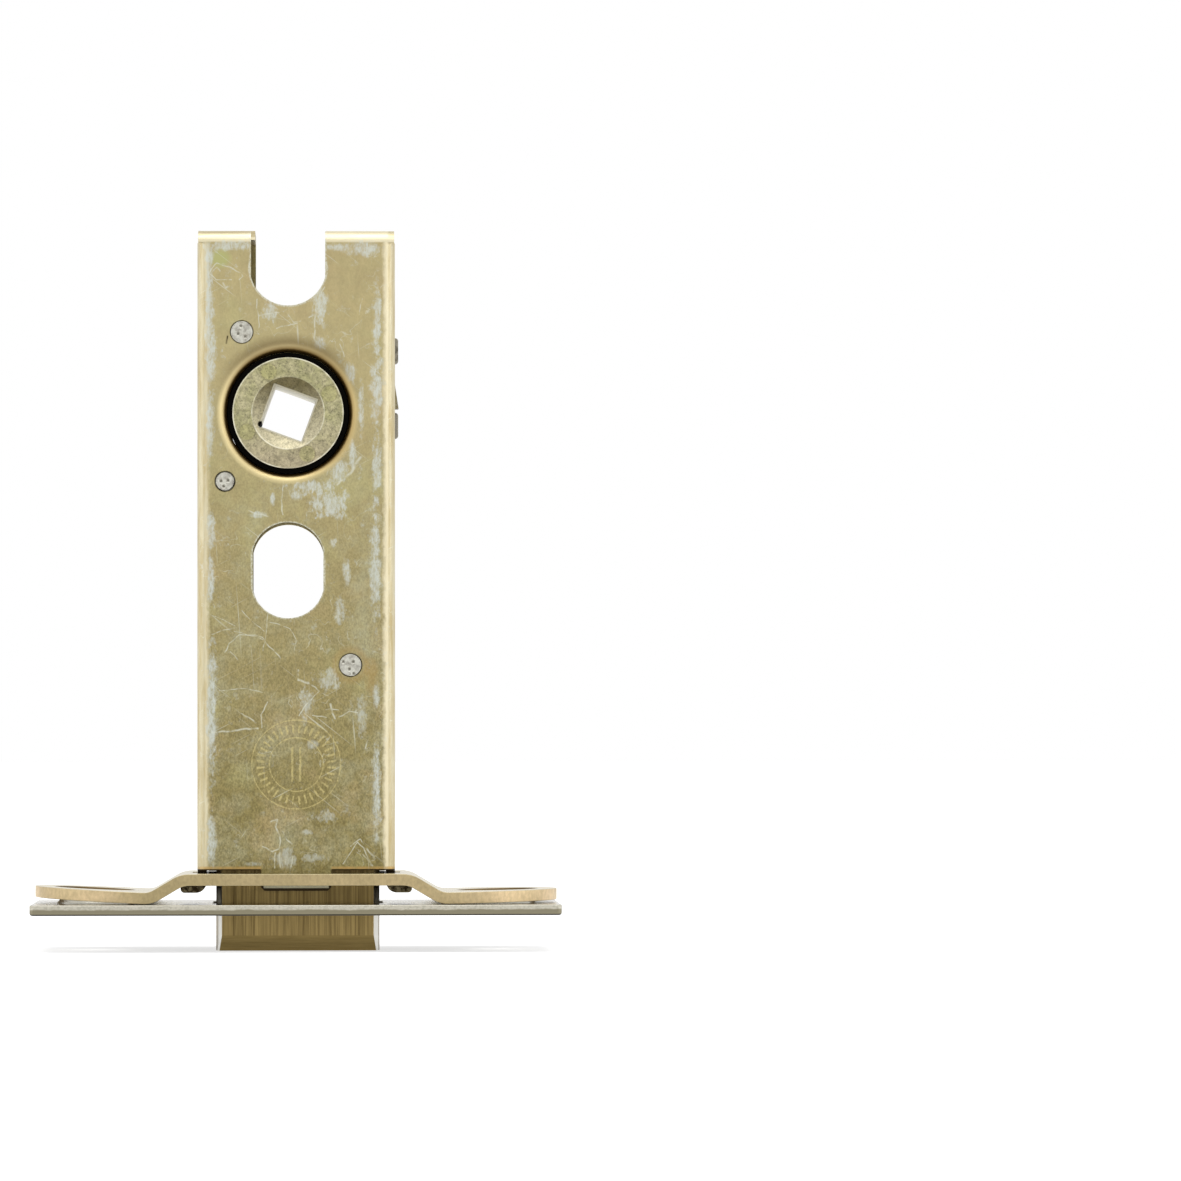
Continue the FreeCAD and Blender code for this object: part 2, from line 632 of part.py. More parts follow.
def notch_outline(centre, width):
    half = f"{width} / 2"
    rise = f"sqrt(Size.notch_radius ^ 2 - ({half}) ^ 2)"
    return outline(
        (f"{centre} - {half}", f"Place.notch_round - {rise}", "Size.notch_radius", 1),
        (f"{centre} + {half}", f"Place.notch_round - {rise}"),
        (f"{centre} + {half}", "Size.case_top + Size.cut_margin"),
        (f"{centre} - {half}", "Size.case_top + Size.cut_margin"),
    )


def tail_notch_outline():
    return notch_outline("Place.line + Size.tail_notch_shift", "Size.tail_notch_width")


def tenon_outline():
    half = "Size.tenon_width / 2"
    foot = "Place.raise_low - Size.tenon_reach"
    return outline(
        (f"-{half} + Size.tenon_bevel", foot),
        (f"{half} - Size.tenon_bevel", foot),
        (half, f"{foot} + Size.tenon_bevel"),
        (half, "Place.case_foot + Size.case_sheet"),
        (f"-{half}", "Place.case_foot + Size.case_sheet"),
        (f"-{half}", f"{foot} + Size.tenon_bevel"),
    )


def pin_places():
    """Centre along X, centre along Z and end diameter of the three pins."""
    return {
        "spring_pin_upper": ("Place.upper_pin_x", "Place.axis + Size.upper_pin_rise", "Size.upper_pin"),
        "spring_pin_lower": ("Place.lower_pin_x", "Place.axis - Size.lower_pin_drop", "Size.lower_pin"),
        "stop_pin": ("Place.stop_pin_x", "Size.stop_pin_height", "Size.stop_pin"),
    }


def cut_pin_holes(body, low, high):
    holes = [disc(x, z, f"{end} + Size.pin_play") for x, z, end in pin_places().values()]
    cut(body, "pin_holes", "XZ", low, high, together(*holes))


def make_case_shell():
    body = new_body("case_shell")
    out = "Place.half_case"
    front = "-Place.half_depth"
    rear = "Place.half_depth"
    add(body, "channel", "XY", "Place.case_foot", "Place.channel_top",
        rectangle(f"-{out}", out, front, rear))

    def front_corner(box):
        return stands_up(box) and is_near(box.YMin, front)

    round_edges(body, "side_bends", "Size.case_bend", front_corner)
    flange_side = "(Place.half_case - Size.cover_play)"
    flange_rear = "(Place.rear_in - Size.plates_gap)"
    add(body, "tail_flange", "XY", "Place.channel_top", "Size.case_top",
        rectangle(f"-{flange_side}", flange_side, front, flange_rear))

    def tail_corner(box):
        return is_near(box.ZMin, "Size.case_top") and is_near(box.ZMax, "Size.case_top") and \
            is_near(box.YMin, front) and is_near(box.YMax, front)

    round_edges(body, "tail_bend", "Size.case_bend", tail_corner)
    wall = "Place.wall_in"
    cut(body, "inside", "XY", "Place.case_foot", "Place.channel_top",
        rectangle(f"-{wall}", wall, "Place.front_in", "Place.half_depth + Size.cut_margin"))
    cut(body, "under_flange", "XY", "Place.channel_top", "Size.case_top - Size.case_sheet",
        rectangle(f"-{out}", out, "Place.front_in", "Place.half_depth + Size.cut_margin"))

    def inner_fold(box):
        upright = stands_up(box) and is_near(abs(box.XMin), wall)
        along_front = box.YLength < 1e-3 and box.ZLength < 1e-3
        across = along_front and is_near(box.ZMin, "Size.case_top - Size.case_sheet")
        on_front = is_near(box.YMin, "Place.front_in") and is_near(box.YMax, "Place.front_in")
        return on_front and (upright or across)

    round_edges(body, "inner_folds", "Size.case_bend - Size.case_sheet", inner_fold)
    add(body, "drawn_lip", "XZ", "Place.front_in - Size.case_sheet / 2", "Size.lip_depth - Place.half_depth",
        disc("Place.line", "Place.axis", follower_lip_outer()))
    cut(body, "follower_hole", "XZ", front, "Size.lip_depth - Place.half_depth",
        disc("Place.line", "Place.axis", "Size.follower_hole"))
    round_lip_mouth(body, front, 1)
    cut(body, "fixing_slot", "XZ", front, "Place.front_in", slot_outline())
    cut(body, "front_notch", "XZ", front, "Place.front_in + Size.case_bend - Size.case_sheet",
        notch_outline("Place.line", "Size.notch_width"))
    cut(body, "tail_notch", "XZ", "Place.front_in", flange_rear, tail_notch_outline())
    cut_pin_holes(body, front, "Place.front_in")
    add(body, "tenon", "XZ", front, "Place.front_in", tenon_outline())
    half_tab = "Size.tab_width / 2"
    tab_top = "Place.raise_low - Size.plates_gap"
    tab_bottom = "Place.raise_low - Size.case_sheet"
    tab_end = f"{out} + Size.tab_reach"
    clenched = add(body, "clenched_tab", "XZ", f"-{half_tab}", half_tab, outline(
        (wall, "Place.case_foot + Size.case_sheet"),
        (wall, tab_bottom),
        (tab_end, tab_bottom),
        (tab_end, f"{tab_top} - Size.tab_droop"),
        (f"{out} + Size.tab_level", tab_top),
        (out, tab_top),
        (out, "Place.case_foot + Size.case_sheet"),
    ))
    mirror_across_middle(body, "other_tab", [clenched])

    def under_tab(box, place):
        lies_across = box.XLength < 1e-3 and box.ZLength < 1e-3
        return lies_across and is_near(abs(box.XMin), place) and is_near(box.ZMin, tab_bottom)

    round_edges(body, "clench_bends", "Size.clench_radius", lambda box: under_tab(box, wall))
    round_edges(body, "tab_ends", "Size.tab_end_round", lambda box: under_tab(box, tab_end))
    add_side_wall_details(body)
    return body


def add_side_wall_details(body):
    """Slots for the tail guide's tabs, and a lanced barb that keeps the case in its bore."""
    wall = "Place.wall_in"
    out = "Place.half_case"
    past_wall = f"{wall} - Size.tab_play"
    past_out = f"{out} + Size.tab_play"
    half_tab = "(Size.guide_tab / 2 + Size.pin_play)"
    upper = "(Place.axis + Size.upper_tab_rise)"
    lower = "(Place.axis - Size.lower_tab_drop)"
    near = "Place.guide_front - Size.pin_play"
    far = "Place.guide_front + Size.guide_sheet + Size.pin_play"
    cut(body, "guide_slots", "XZ", near, far, together(
        rectangle(past_wall, past_out, f"{upper} - {half_tab}", f"{upper} + {half_tab}"),
        rectangle(past_wall, past_out, f"{lower} - {half_tab}", f"{lower} + {half_tab}"),
    ))
    root = "(Place.axis + Size.barb_root)"
    tip = f"({root} - Size.barb_length)"
    half_barb = "Size.barb_width / 2"
    cut(body, "barb_window", "XZ", f"-({half_barb} + Size.tab_play)", f"{half_barb} + Size.tab_play",
        rectangle(past_wall, past_out, f"{tip} - Size.tab_play", root))
    add(body, "barb", "XZ", f"-{half_barb}", half_barb, outline(
        (wall, root),
        (f"{wall} + Size.barb_proud", tip),
        (f"{out} + Size.barb_proud", tip),
        (out, root),
        (out, f"{root} + Size.case_sheet / 2"),
        (wall, f"{root} + Size.case_sheet / 2"),
    ))


# Rear cover: a flat plate between the side walls, with the same holes as the front and a tenon.

def make_rear_cover():
    body = new_body("rear_cover")
    side = "(Place.wall_in - Size.cover_play)"
    near = "Place.rear_in"
    far = "Place.half_depth"
    add(body, "plate", "XZ", near, far, rectangle(
        f"-{side}", side, "Place.raise_high + Size.cover_gap", "Size.case_top",
    ))
    add(body, "drawn_lip", "XZ", "Place.half_depth - Size.lip_depth", "Place.rear_in + Size.case_sheet / 2",
        disc("Place.line", "Place.axis", follower_lip_outer()))
    cut(body, "follower_hole", "XZ", "Place.half_depth - Size.lip_depth", far,
        disc("Place.line", "Place.axis", "Size.follower_hole"))
    round_lip_mouth(body, far, -1)
    cut(body, "fixing_slot", "XZ", near, far, slot_outline())
    cut(body, "notch", "XZ", near, far, tail_notch_outline())
    cut_pin_holes(body, near, far)
    add(body, "tenon", "XZ", near, far, tenon_outline())
    return body


# Pins: their ends are staked in the front and the cover, and a thicker body keeps the two apart.

def make_pin(name):
    x, z, end = pin_places()[name]
    body = new_body(name)
    add(body, "ends", "XZ", "-Place.half_depth", "Place.half_depth", disc(x, z, end))
    add(body, "shoulder", "XZ", "Place.front_in", "Place.rear_in", disc(x, z, f"{end} + Size.pin_shoulder"))

    def rim(box):
        return box.YLength < 1e-3 and is_near(abs(box.YMin), "Place.half_depth")

    bevel_edges(body, "rims", "Size.pin_rim", rim)
    return body


# Bolt head: a solid bar with beveled long edges and nose, slit at its inner end for the tail.

def make_bolt_head():
    body = new_body("bolt_head")
    left = "Size.bolt_shift - Place.bolt_width / 2"
    right = "Size.bolt_shift + Place.bolt_width / 2"
    half_depth = "Place.bolt_depth / 2"
    face_left = f"{left} + Size.bolt_edge"
    face_right = f"{right} - Size.bolt_edge"
    side_front = f"Size.bolt_edge_depth - {half_depth}"
    side_rear = f"{half_depth} - Size.bolt_edge_depth"
    nose = "-Size.bolt_proud"
    add(body, "bar", "XY", nose, "Place.bolt_top", outline(
        (face_left, f"-{half_depth}"),
        (face_right, f"-{half_depth}"),
        (right, side_front),
        (right, side_rear),
        (face_right, half_depth),
        (face_left, half_depth),
        (left, side_rear),
        (left, side_front),
    ))
    cut(body, "nose_bevels", "YZ", left, right, together(
        outline(
            (f"-{half_depth}", f"{nose} + Size.nose_height"),
            (f"-{half_depth}", nose),
            (f"Size.nose_depth - {half_depth}", nose),
        ),
        outline(
            (half_depth, f"{nose} + Size.nose_height"),
            (f"{half_depth} - Size.nose_depth", nose),
            (half_depth, nose),
        ),
    ))
    fit = "Size.tail_fit"
    cut(body, "tail_slit", "XZ", f"Place.tail_front - {fit}", f"Place.tail_rear + {fit}", rectangle(
        f"Place.tail_foot_left - {fit}", f"{right} + Size.cut_margin",
        f"Place.bolt_top - Size.tail_foot_length - {fit}", "Place.bolt_top + Size.cut_margin",
    ))
    cut(body, "rivet_holes", "XZ", f"-{half_depth}", half_depth, rivet_discs("Size.rivet + Size.pin_play"))
    return body


def rivet_discs(diameter):
    height = "Place.bolt_top - Size.rivet_drop"
    return together(
        disc("Place.rivet_left", height, diameter),
        disc("Place.rivet_right", height, diameter),
    )


# Bolt tail: a flat strip from the bolt head to the follower. A long hole over the stop pin limits
# its travel, and the yoke at its top takes the crank pin.

def make_bolt_tail():
    body = new_body("bolt_tail")
    right = "Place.tail_right"
    foot = "Place.bolt_top - Size.tail_foot_length"
    step = "Place.bolt_top + Size.tail_foot_step"
    yoke_low = "Place.yoke_z - Place.yoke_half"
    yoke_high = "Place.yoke_z + Place.yoke_half"
    add(body, "strip", "XZ", "Place.tail_front", "Place.tail_rear", outline(
        ("Place.tail_foot_left", foot),
        (right, foot),
        (right, f"{yoke_high} + Size.yoke_prong"),
        ("Place.tail_neck_left", f"{yoke_high} + Size.yoke_prong"),
        ("Place.tail_neck_left", yoke_high),
        ("Place.yoke_right", yoke_high),
        ("Place.yoke_right", yoke_low),
        ("Place.tail_neck_left", yoke_low),
        ("Place.tail_neck_left", "Place.tail_neck_bottom"),
        ("Place.tail_strip_left", "Place.tail_neck_bottom - Size.tail_neck_slope"),
        ("Place.tail_strip_left", step),
        ("Place.tail_foot_left", step),
    ))
    pin_x, pin_z, _ = pin_places()["stop_pin"]
    cut(body, "stop_way", "XZ", "Place.tail_front", "Place.tail_rear", long_hole(
        pin_x, f"{pin_z} - Place.throw_back - Size.travel_play",
        pin_x, f"{pin_z} + Place.throw_on + Size.travel_play",
        "Place.stop_way",
    ))
    cut(body, "rivet_holes", "XZ", "Place.tail_front", "Place.tail_rear",
        rivet_discs("Size.rivet + Size.pin_play"))
    return body


def make_tail_rivet(name, x):
    body = new_body(name)
    half_depth = "Place.bolt_depth / 2"
    add(body, "shank", "XZ", f"-{half_depth}", half_depth,
        disc(x, "Place.bolt_top - Size.rivet_drop", "Size.rivet"))
    return body


# Tail guide: a flat strip behind the tail. Its two tabs go through the right-hand side wall.

def make_tail_guide():
    body = new_body("tail_guide")
    wall = "Place.wall_in"
    tab_end = "(Place.half_case + Size.guide_proud)"
    inner = "Place.guide_inner"
    half_tab = "Size.guide_tab / 2"
    upper = "(Place.axis + Size.upper_tab_rise)"
    lower = "(Place.axis - Size.lower_tab_drop)"
    add(body, "strip", "XZ", "Place.guide_front", "Place.guide_front + Size.guide_sheet", outline(
        (inner, "Place.axis - Size.guide_bottom"),
        (wall, "Place.axis - Size.guide_bottom"),
        (wall, f"{lower} - {half_tab}"),
        (tab_end, f"{lower} - {half_tab}"),
        (tab_end, f"{lower} + {half_tab}"),
        (wall, f"{lower} + {half_tab}"),
        (wall, f"{upper} - {half_tab}"),
        (tab_end, f"{upper} - {half_tab}"),
        (tab_end, f"{upper} + {half_tab}"),
        (wall, f"{upper} + {half_tab}"),
        (wall, "Place.axis + Size.guide_top"),
        (inner, "Place.axis + Size.guide_top"),
    ))

    def tab_corner(box):
        return box.XLength < 1e-3 and box.ZLength < 1e-3 and is_near(box.XMin, tab_end)

    round_edges(body, "tab_corners", "Size.guide_corner", tab_corner)
    return body


# Follower: a die-cast hub with a square hole, two journals and a crank. It is drawn about its own
# axis, with local X to the right and local Y up as seen from the front, and then put in its place.

def make_follower():
    body = new_body("follower_hub")
    face = "Place.half_depth"
    journal = "Place.journal"
    layers = [
        ("front_boss", f"{face} - Size.hub_step", face, "Size.hub_face"),
        ("front_journal", "-Size.barrel_front", f"{face} - Size.hub_step", journal),
        ("barrel", "-Size.barrel_rear", "-Size.barrel_front", "Size.hub_barrel"),
        ("neck", "-Size.hub_flange_front", "-Size.barrel_rear", "Size.hub_neck"),
        ("rear_journal", f"Size.hub_step - {face}", "-Size.hub_flange_front", journal),
        ("rear_boss", f"-{face}", f"Size.hub_step - {face}", "Size.hub_face"),
    ]
    for name, low, high, diameter in layers:
        add(body, name, "XY", low, high, disc("0", "0", diameter))
    crank_x = "(Place.crank_radius * cos(Place.crank_turn))"
    crank_y = "(Place.crank_radius * sin(Place.crank_turn))"
    add(body, "crank_arm", "XY", "-Size.barrel_rear", "-Size.crank_front",
        long_hole("0", "0", crank_x, crank_y, "Size.crank_end"))
    add(body, "crank_pin", "XY", "-Place.tail_rear", "-Size.barrel_rear",
        disc(crank_x, crank_y, "Size.crank_pin"))
    for name, low, high, taper in (
        ("front_recess", f"{face} - Size.recess_depth", face, 1),
        ("rear_recess", f"-{face}", f"Size.recess_depth - {face}", -1),
    ):
        cut_cone(body, name, low, high, taper)
    cut(body, "square_hole", "XY", f"-{face}", face, turned_square("Size.hub_square"))
    mouth_top = f"({face} - Size.recess_depth)"
    mouth_bottom = f"({mouth_top} - (Size.square_mouth - Size.hub_square) / 2 / tan(Size.mouth_slope))"
    cut(body, "square_mouth", "XY", mouth_top, face, turned_square("Size.square_mouth"))
    cut(body, "mouth_bevel", "XY", mouth_bottom, mouth_top,
        turned_square("Size.hub_square"), "Size.mouth_slope")
    facing_front = FreeCAD.Rotation(FreeCAD.Vector(1, 0, 0), 90)
    body.Placement = FreeCAD.Placement(FreeCAD.Vector(0, 0, 0), facing_front)
    body.setExpression("Placement.Base.x", "Place.line")
    body.setExpression("Placement.Base.z", "Place.axis")
    return body


def turned_square(width):
    """The spindle hole, turned clockwise by turn_back as seen from the front."""
    reach = f"({width} / sqrt(2))"
    corners = []
    for start in (45, 135, 225, 315):
        angle = f"({start} - Size.turn_back)"
        corners.append((f"{reach} * cos({angle})", f"{reach} * sin({angle})"))
    return outline(*corners)


def cut_cone(body, name, low, high, side):
    """The shallow cone of a boss, from its wide rim at the face to the square hole's corners."""
    before = volume_of(body)
    sketch = new_sketch(body, name + "_sketch", "XZ", "0")
    rim = "Size.hub_recess / 2"
    bottom = "Size.square_mouth / 2"
    if side > 0:
        corners = [("0", low), (bottom, low), (rim, high), ("0", high)]
    else:
        corners = [("0", low), (rim, low), (bottom, high), ("0", high)]
    outline(*corners)(sketch)
    groove = body.newObject("PartDesign::Groove", name)
    groove.Profile = sketch
    groove.ReferenceAxis = (sketch, ["V_Axis"])
    groove.Angle = 360
    check_change(body, name, before, False)


# Detent spring: a bent strip that bows round the follower's barrel and hooks over the two spring
# pins. Its inner and outer outlines share the centres of the hooks and of the bow.

def tangent_ends(centre, radius, other, other_radius, side):
    """Ends of the line that touches two circles on opposite sides."""
    way = math.atan2(other.y - centre.y, other.x - centre.x)
    lean = math.acos((radius + other_radius) / centre.distanceToPoint(other)) * side
    out = flat(math.cos(way + lean), math.sin(way + lean))
    return centre + out * radius, other - out * other_radius


def spring_side(sketch, centres, radii):
    """One side of the strip, from the upper hook's end to the lower hook's end."""
    upper, bow, lower = [flat(value(x), value(y)) for x, y in centres]
    upper_radius, bow_radius, lower_radius = [value(radius) for radius in radii]
    bow_top, upper_touch = tangent_ends(bow, bow_radius, upper, upper_radius, 1)
    bow_foot, lower_touch = tangent_ends(bow, bow_radius, lower, lower_radius, -1)

    def arc(centre, radius, start, end):
        circle = Part.Circle(centre, FreeCAD.Vector(0, 0, 1), radius)
        first = math.atan2(start.y - centre.y, start.x - centre.x)
        last = math.atan2(end.y - centre.y, end.x - centre.x)
        return sketch.addGeometry(Part.ArcOfCircle(circle, first, last))

    upper_end = upper - flat(upper_radius, 0)
    lower_end = lower - flat(lower_radius, 0)
    upper_arc = arc(upper, upper_radius, upper_touch, upper_end)
    upper_line = sketch.addGeometry(Part.LineSegment(upper_touch, bow_top))
    bow_arc = arc(bow, bow_radius, bow_top, bow_foot)
    lower_line = sketch.addGeometry(Part.LineSegment(bow_foot, lower_touch))
    lower_arc = arc(lower, lower_radius, lower_end, lower_touch)
    for first, first_end, second, second_end in (
        (upper_arc, 1, upper_line, 1),
        (upper_line, 2, bow_arc, 1),
        (bow_arc, 2, lower_line, 1),
        (lower_line, 2, lower_arc, 2),
    ):
        sketch.addConstraint(Sketcher.Constraint("Tangent", first, first_end, second, second_end))
    for edge, centre, radius in zip((upper_arc, bow_arc, lower_arc), centres, radii):
        bind_point(sketch, edge, 3, *centre)
        bind(sketch, "Radius", edge, radius)
    bind(sketch, "DistanceY", *ORIGIN_POINT, upper_arc, 2, centres[0][1])
    bind(sketch, "DistanceY", *ORIGIN_POINT, lower_arc, 1, centres[2][1])
    return upper_arc, lower_arc, upper_end, lower_end


def make_detent_spring():
    body = new_body("detent_spring")
    pins = pin_places()
    centres = [pins["spring_pin_upper"][:2], ("Place.line", "Place.axis"), pins["spring_pin_lower"][:2]]
    sheet = "Size.spring_sheet"

    def draw(sketch):
        near_radii = ["Place.upper_hook", f"Place.spring_bow + {sheet}", "Place.lower_hook"]
        far_radii = [f"Place.upper_hook + {sheet}", "Place.spring_bow", f"Place.lower_hook + {sheet}"]
        upper, lower, upper_end, lower_end = spring_side(sketch, centres, near_radii)
        far_upper, far_lower, far_upper_end, far_lower_end = spring_side(sketch, centres, far_radii)
        for edge, end, far_edge, start_point, end_point in (
            (upper, 2, far_upper, upper_end, far_upper_end),
            (lower, 1, far_lower, lower_end, far_lower_end),
        ):
            cap = sketch.addGeometry(Part.LineSegment(start_point, end_point))
            sketch.addConstraint(Sketcher.Constraint("Coincident", cap, 1, edge, end))
            sketch.addConstraint(Sketcher.Constraint("Coincident", cap, 2, far_edge, end))

    add(body, "strip", "XZ", "Size.spring_front", "Size.spring_front + Size.spring_width", draw)
    return body


# All the pieces

pieces = [
    make_outer_forend(),
    make_inner_forend(),
    make_case_shell(),
    make_rear_cover(),
    make_pin("spring_pin_upper"),
    make_pin("spring_pin_lower"),
    make_pin("stop_pin"),
    make_bolt_head(),
    make_bolt_tail(),
    make_tail_rivet("tail_rivet_left", "Place.rivet_left"),
    make_tail_rivet("tail_rivet_right", "Place.rivet_right"),
    make_tail_guide(),
    make_follower(),
    make_detent_spring(),
]
doc.recompute()

for item in doc.Objects:
    if "Invalid" in item.State or "Error" in item.State:
        raise RuntimeError(f"{item.Label} failed: {item.State}")
for piece in pieces:
    if piece.Shape.isNull() or not piece.Shape.isValid():
        raise RuntimeError(f"{piece.Label} has no valid shape")
    if len(piece.Shape.Solids) != 1:
        raise RuntimeError(f"{piece.Label} has {len(piece.Shape.Solids)} solids")

os.makedirs("parts", exist_ok=True)
for piece in pieces:
    piece.Shape.exportStep(f"parts/{piece.Label}.step")
    box = piece.Shape.BoundBox
    print(
        f"{piece.Label:18s} volume {piece.Shape.Volume:8.1f}  X {box.XMin:6.2f} {box.XMax:6.2f}  "
        f"Y {box.YMin:6.2f} {box.YMax:6.2f}  Z {box.ZMin:6.2f} {box.ZMax:6.2f}"
    )
print(f"bolt back {value('Place.throw_back'):.4f}, bolt on {value('Place.throw_on'):.4f} mm")
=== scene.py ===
import json
import math

import bmesh
import bpy
from mathutils import Euler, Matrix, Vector

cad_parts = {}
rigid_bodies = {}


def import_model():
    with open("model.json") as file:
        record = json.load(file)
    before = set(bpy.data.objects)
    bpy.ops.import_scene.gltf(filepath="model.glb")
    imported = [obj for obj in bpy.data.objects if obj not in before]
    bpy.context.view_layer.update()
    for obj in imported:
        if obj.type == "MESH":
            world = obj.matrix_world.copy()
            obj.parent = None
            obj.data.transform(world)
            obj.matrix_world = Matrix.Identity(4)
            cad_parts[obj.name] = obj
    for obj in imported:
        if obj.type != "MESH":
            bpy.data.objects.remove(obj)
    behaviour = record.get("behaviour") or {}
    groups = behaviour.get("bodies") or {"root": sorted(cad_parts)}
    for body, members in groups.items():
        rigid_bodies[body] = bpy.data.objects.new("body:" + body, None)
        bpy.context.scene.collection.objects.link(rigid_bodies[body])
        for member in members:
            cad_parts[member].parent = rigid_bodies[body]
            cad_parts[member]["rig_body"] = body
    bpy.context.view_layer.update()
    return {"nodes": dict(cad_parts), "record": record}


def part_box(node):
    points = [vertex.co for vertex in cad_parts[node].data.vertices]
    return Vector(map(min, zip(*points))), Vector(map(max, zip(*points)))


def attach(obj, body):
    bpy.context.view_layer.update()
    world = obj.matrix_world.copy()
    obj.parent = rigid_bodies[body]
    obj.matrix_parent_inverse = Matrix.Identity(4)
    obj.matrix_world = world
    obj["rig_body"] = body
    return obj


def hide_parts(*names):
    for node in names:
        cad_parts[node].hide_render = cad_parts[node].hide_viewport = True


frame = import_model()
scene = bpy.context.scene
scene.view_settings.view_transform = "Standard"

# Measures, in metres

MM = 0.001
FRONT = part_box("case_shell")[0].y
REAR = -FRONT
CASE_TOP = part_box("case_shell")[1].z
CASE_FOOT = 4.99 * MM
HALF_CASE = 11.25 * MM
SHEET = 1.0 * MM
BEND = 1.4 * MM
BEND_START = 10.0 * MM
TAB_LOW = 3.4 * MM
TAB_INNER = 9.05 * MM
TENON_FOOT = 2.65 * MM
TENON_HALF = 4.0 * MM
BARB_FOOT = 30.0 * MM

HUB_X = -0.93 * MM
HUB_Z = 57.0 * MM
HUB_CENTRE = (HUB_X, FRONT, HUB_Z)
BORE_RADIUS = 6.975 * MM
MOUTH_RADIUS = 7.975 * MM
LIP_SHADE_END = 9.2 * MM
HUB_FACE_RADIUS = 6.325 * MM
RECESS_RADIUS = 4.125 * MM
SQUARE_CORNER = 3.85 * MM
MOULD_MARK_REACH = 5.15 * MM
MOULD_MARK_RADIUS = 0.95 * MM
MOULD_MARK_ANGLES = (115, 25, -65, 205)
CORNER_GRIME = (HUB_X - 3.1 * MM, FRONT, HUB_Z - 1.25 * MM)
MOUTH_LINE = 4.75 * MM

SLOT_MIDDLE = 39.1 * MM
SLOT_STRAIGHT = 1.35 * MM
SLOT_RADIUS = 4.1 * MM
NOTCH_BOTTOM = 73.6 * MM
NOTCH_RADIUS = 4.37 * MM
NOTCH_HALF = 4.225 * MM

PLATE_TOP = 1.2 * MM
SCREW_REACH = 23.0 * MM
WING_HOLE_RADIUS = 4.6 * MM
BOLT_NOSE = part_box("bolt_head")[0].z
BOLT_NOSE_BEVEL = 1.74 * MM
FLOOR_HEIGHT = BOLT_NOSE - 0.02 * MM

# The heights between which the plating turns from olive at the foot to straw above
TONE_FOOT = 12 * MM
TONE_HEAD = 62 * MM


# Colours

def srgb(red, green, blue):
    """A colour named by its 8-bit screen values, as the shaders want it."""
    def linear(value):
        share = value / 255
        return share / 12.92 if share <= 0.04045 else ((share + 0.055) / 1.055) ** 2.4
    return (linear(red), linear(green), linear(blue), 1.0)


ZINC_UPPER = srgb(175, 162, 119)
ZINC_LOWER = srgb(132, 121, 78)
ZINC_GREEN = srgb(172, 168, 120)
ZINC_PINK = srgb(181, 160, 120)
ZINC_PALE = srgb(200, 206, 200)
ZINC_AMBER = srgb(164, 134, 80)
ZINC_GREY = srgb(168, 166, 136)
CORNER_GREEN = srgb(172, 174, 116)
BEND_CREAM = srgb(214, 206, 176)
BEND_TAN = srgb(192, 176, 134)
BEND_WHITE = srgb(232, 222, 190)
STAMP_GOLD = srgb(192, 178, 122)
# Painted light round the drawn lip: shade over its top and in its throat, highlights round its mouth
LIP_SHADE_BROWN = srgb(112, 96, 62)
LIP_THROAT_SHADE = srgb(104, 78, 34)
LIP_DIM_HIGHLIGHT_TAN = srgb(200, 178, 124)
LIP_HIGHLIGHT_GOLD = srgb(238, 220, 166)
# Scratches, and painted highlights along the rims of the slot and the notch
SCRATCH_AND_HIGHLIGHT_PALE = srgb(204, 204, 186)
# Grime, and painted shade in gaps, under the case and inside near the foot
GRIME_AND_SHADE = srgb(44, 34, 18)
# Grease, and painted shade in the deep gaps round the follower
GREASE_AND_SHADE_BLACK = srgb(8, 6, 3)
# Painted highlight along the case's sheared foot
FOOT_HIGHLIGHT_GOLD = srgb(182, 150, 92)
STRIP_TAN = srgb(164, 148, 110)
STRIP_ROSE = srgb(218, 194, 156)
STRIP_OLIVE = srgb(148, 135, 97)
# Painted highlight on the strip's flat faces
STRIP_FLAT_HIGHLIGHT = srgb(212, 202, 168)
# Painted reflection in the hub's square hole
HOLE_REFLECTION_PALE = srgb(222, 218, 200)
STRIP_BROWN = srgb(112, 92, 58)
PLATE_DARK = srgb(36, 34, 30)
PLATE_ROUGH = srgb(193, 189, 175)
PLATE_GRAIN = srgb(169, 165, 150)
PLATE_SMOOTH = srgb(131, 125, 104)
BRASS_BROWN = srgb(157, 136, 87)
BRASS_DARK = srgb(88, 72, 40)
# Painted shade on the bolt's nose bevel
BRASS_NOSE_SHADE = srgb(113, 96, 56)
# Painted highlight on the bolt's long bevels
BEVEL_HIGHLIGHT_PALE = srgb(240, 239, 232)
CAST_GREY = srgb(177, 170, 135)
CAST_OLIVE = srgb(160, 156, 116)
CAST_ROSE = srgb(168, 155, 131)
MARK_OLIVE = srgb(160, 156, 104)
# Painted shade and highlight of the hub's recess
CONE_SHADE_DARK = srgb(89, 79, 50)
CONE_HIGHLIGHT_PALE = srgb(195, 187, 158)
# Painted highlight with wear on the hub's rims
RIM_WEAR_AND_HIGHLIGHT = srgb(232, 228, 206)
PIN_SILVER = srgb(196, 195, 184)
PIN_DARK = srgb(74, 68, 54)
TENON_GREY = srgb(156, 151, 132)
TAB_GREY = srgb(128, 118, 90)
STEEL_GREY = srgb(150, 146, 136)
SPRING_BLUE = srgb(96, 96, 98)


# Node helpers

def node(tree, kind, sockets=None, **settings):
    """A shader node with its settings, and its sockets set or linked."""
    made = tree.nodes.new("ShaderNode" + kind)
    for name, value in settings.items():
        setattr(made, name, value)
    for name, value in (sockets or {}).items():
        if isinstance(value, bpy.types.NodeSocket):
            tree.links.new(value, made.inputs[name])
        else:
            made.inputs[name].default_value = value
    return made


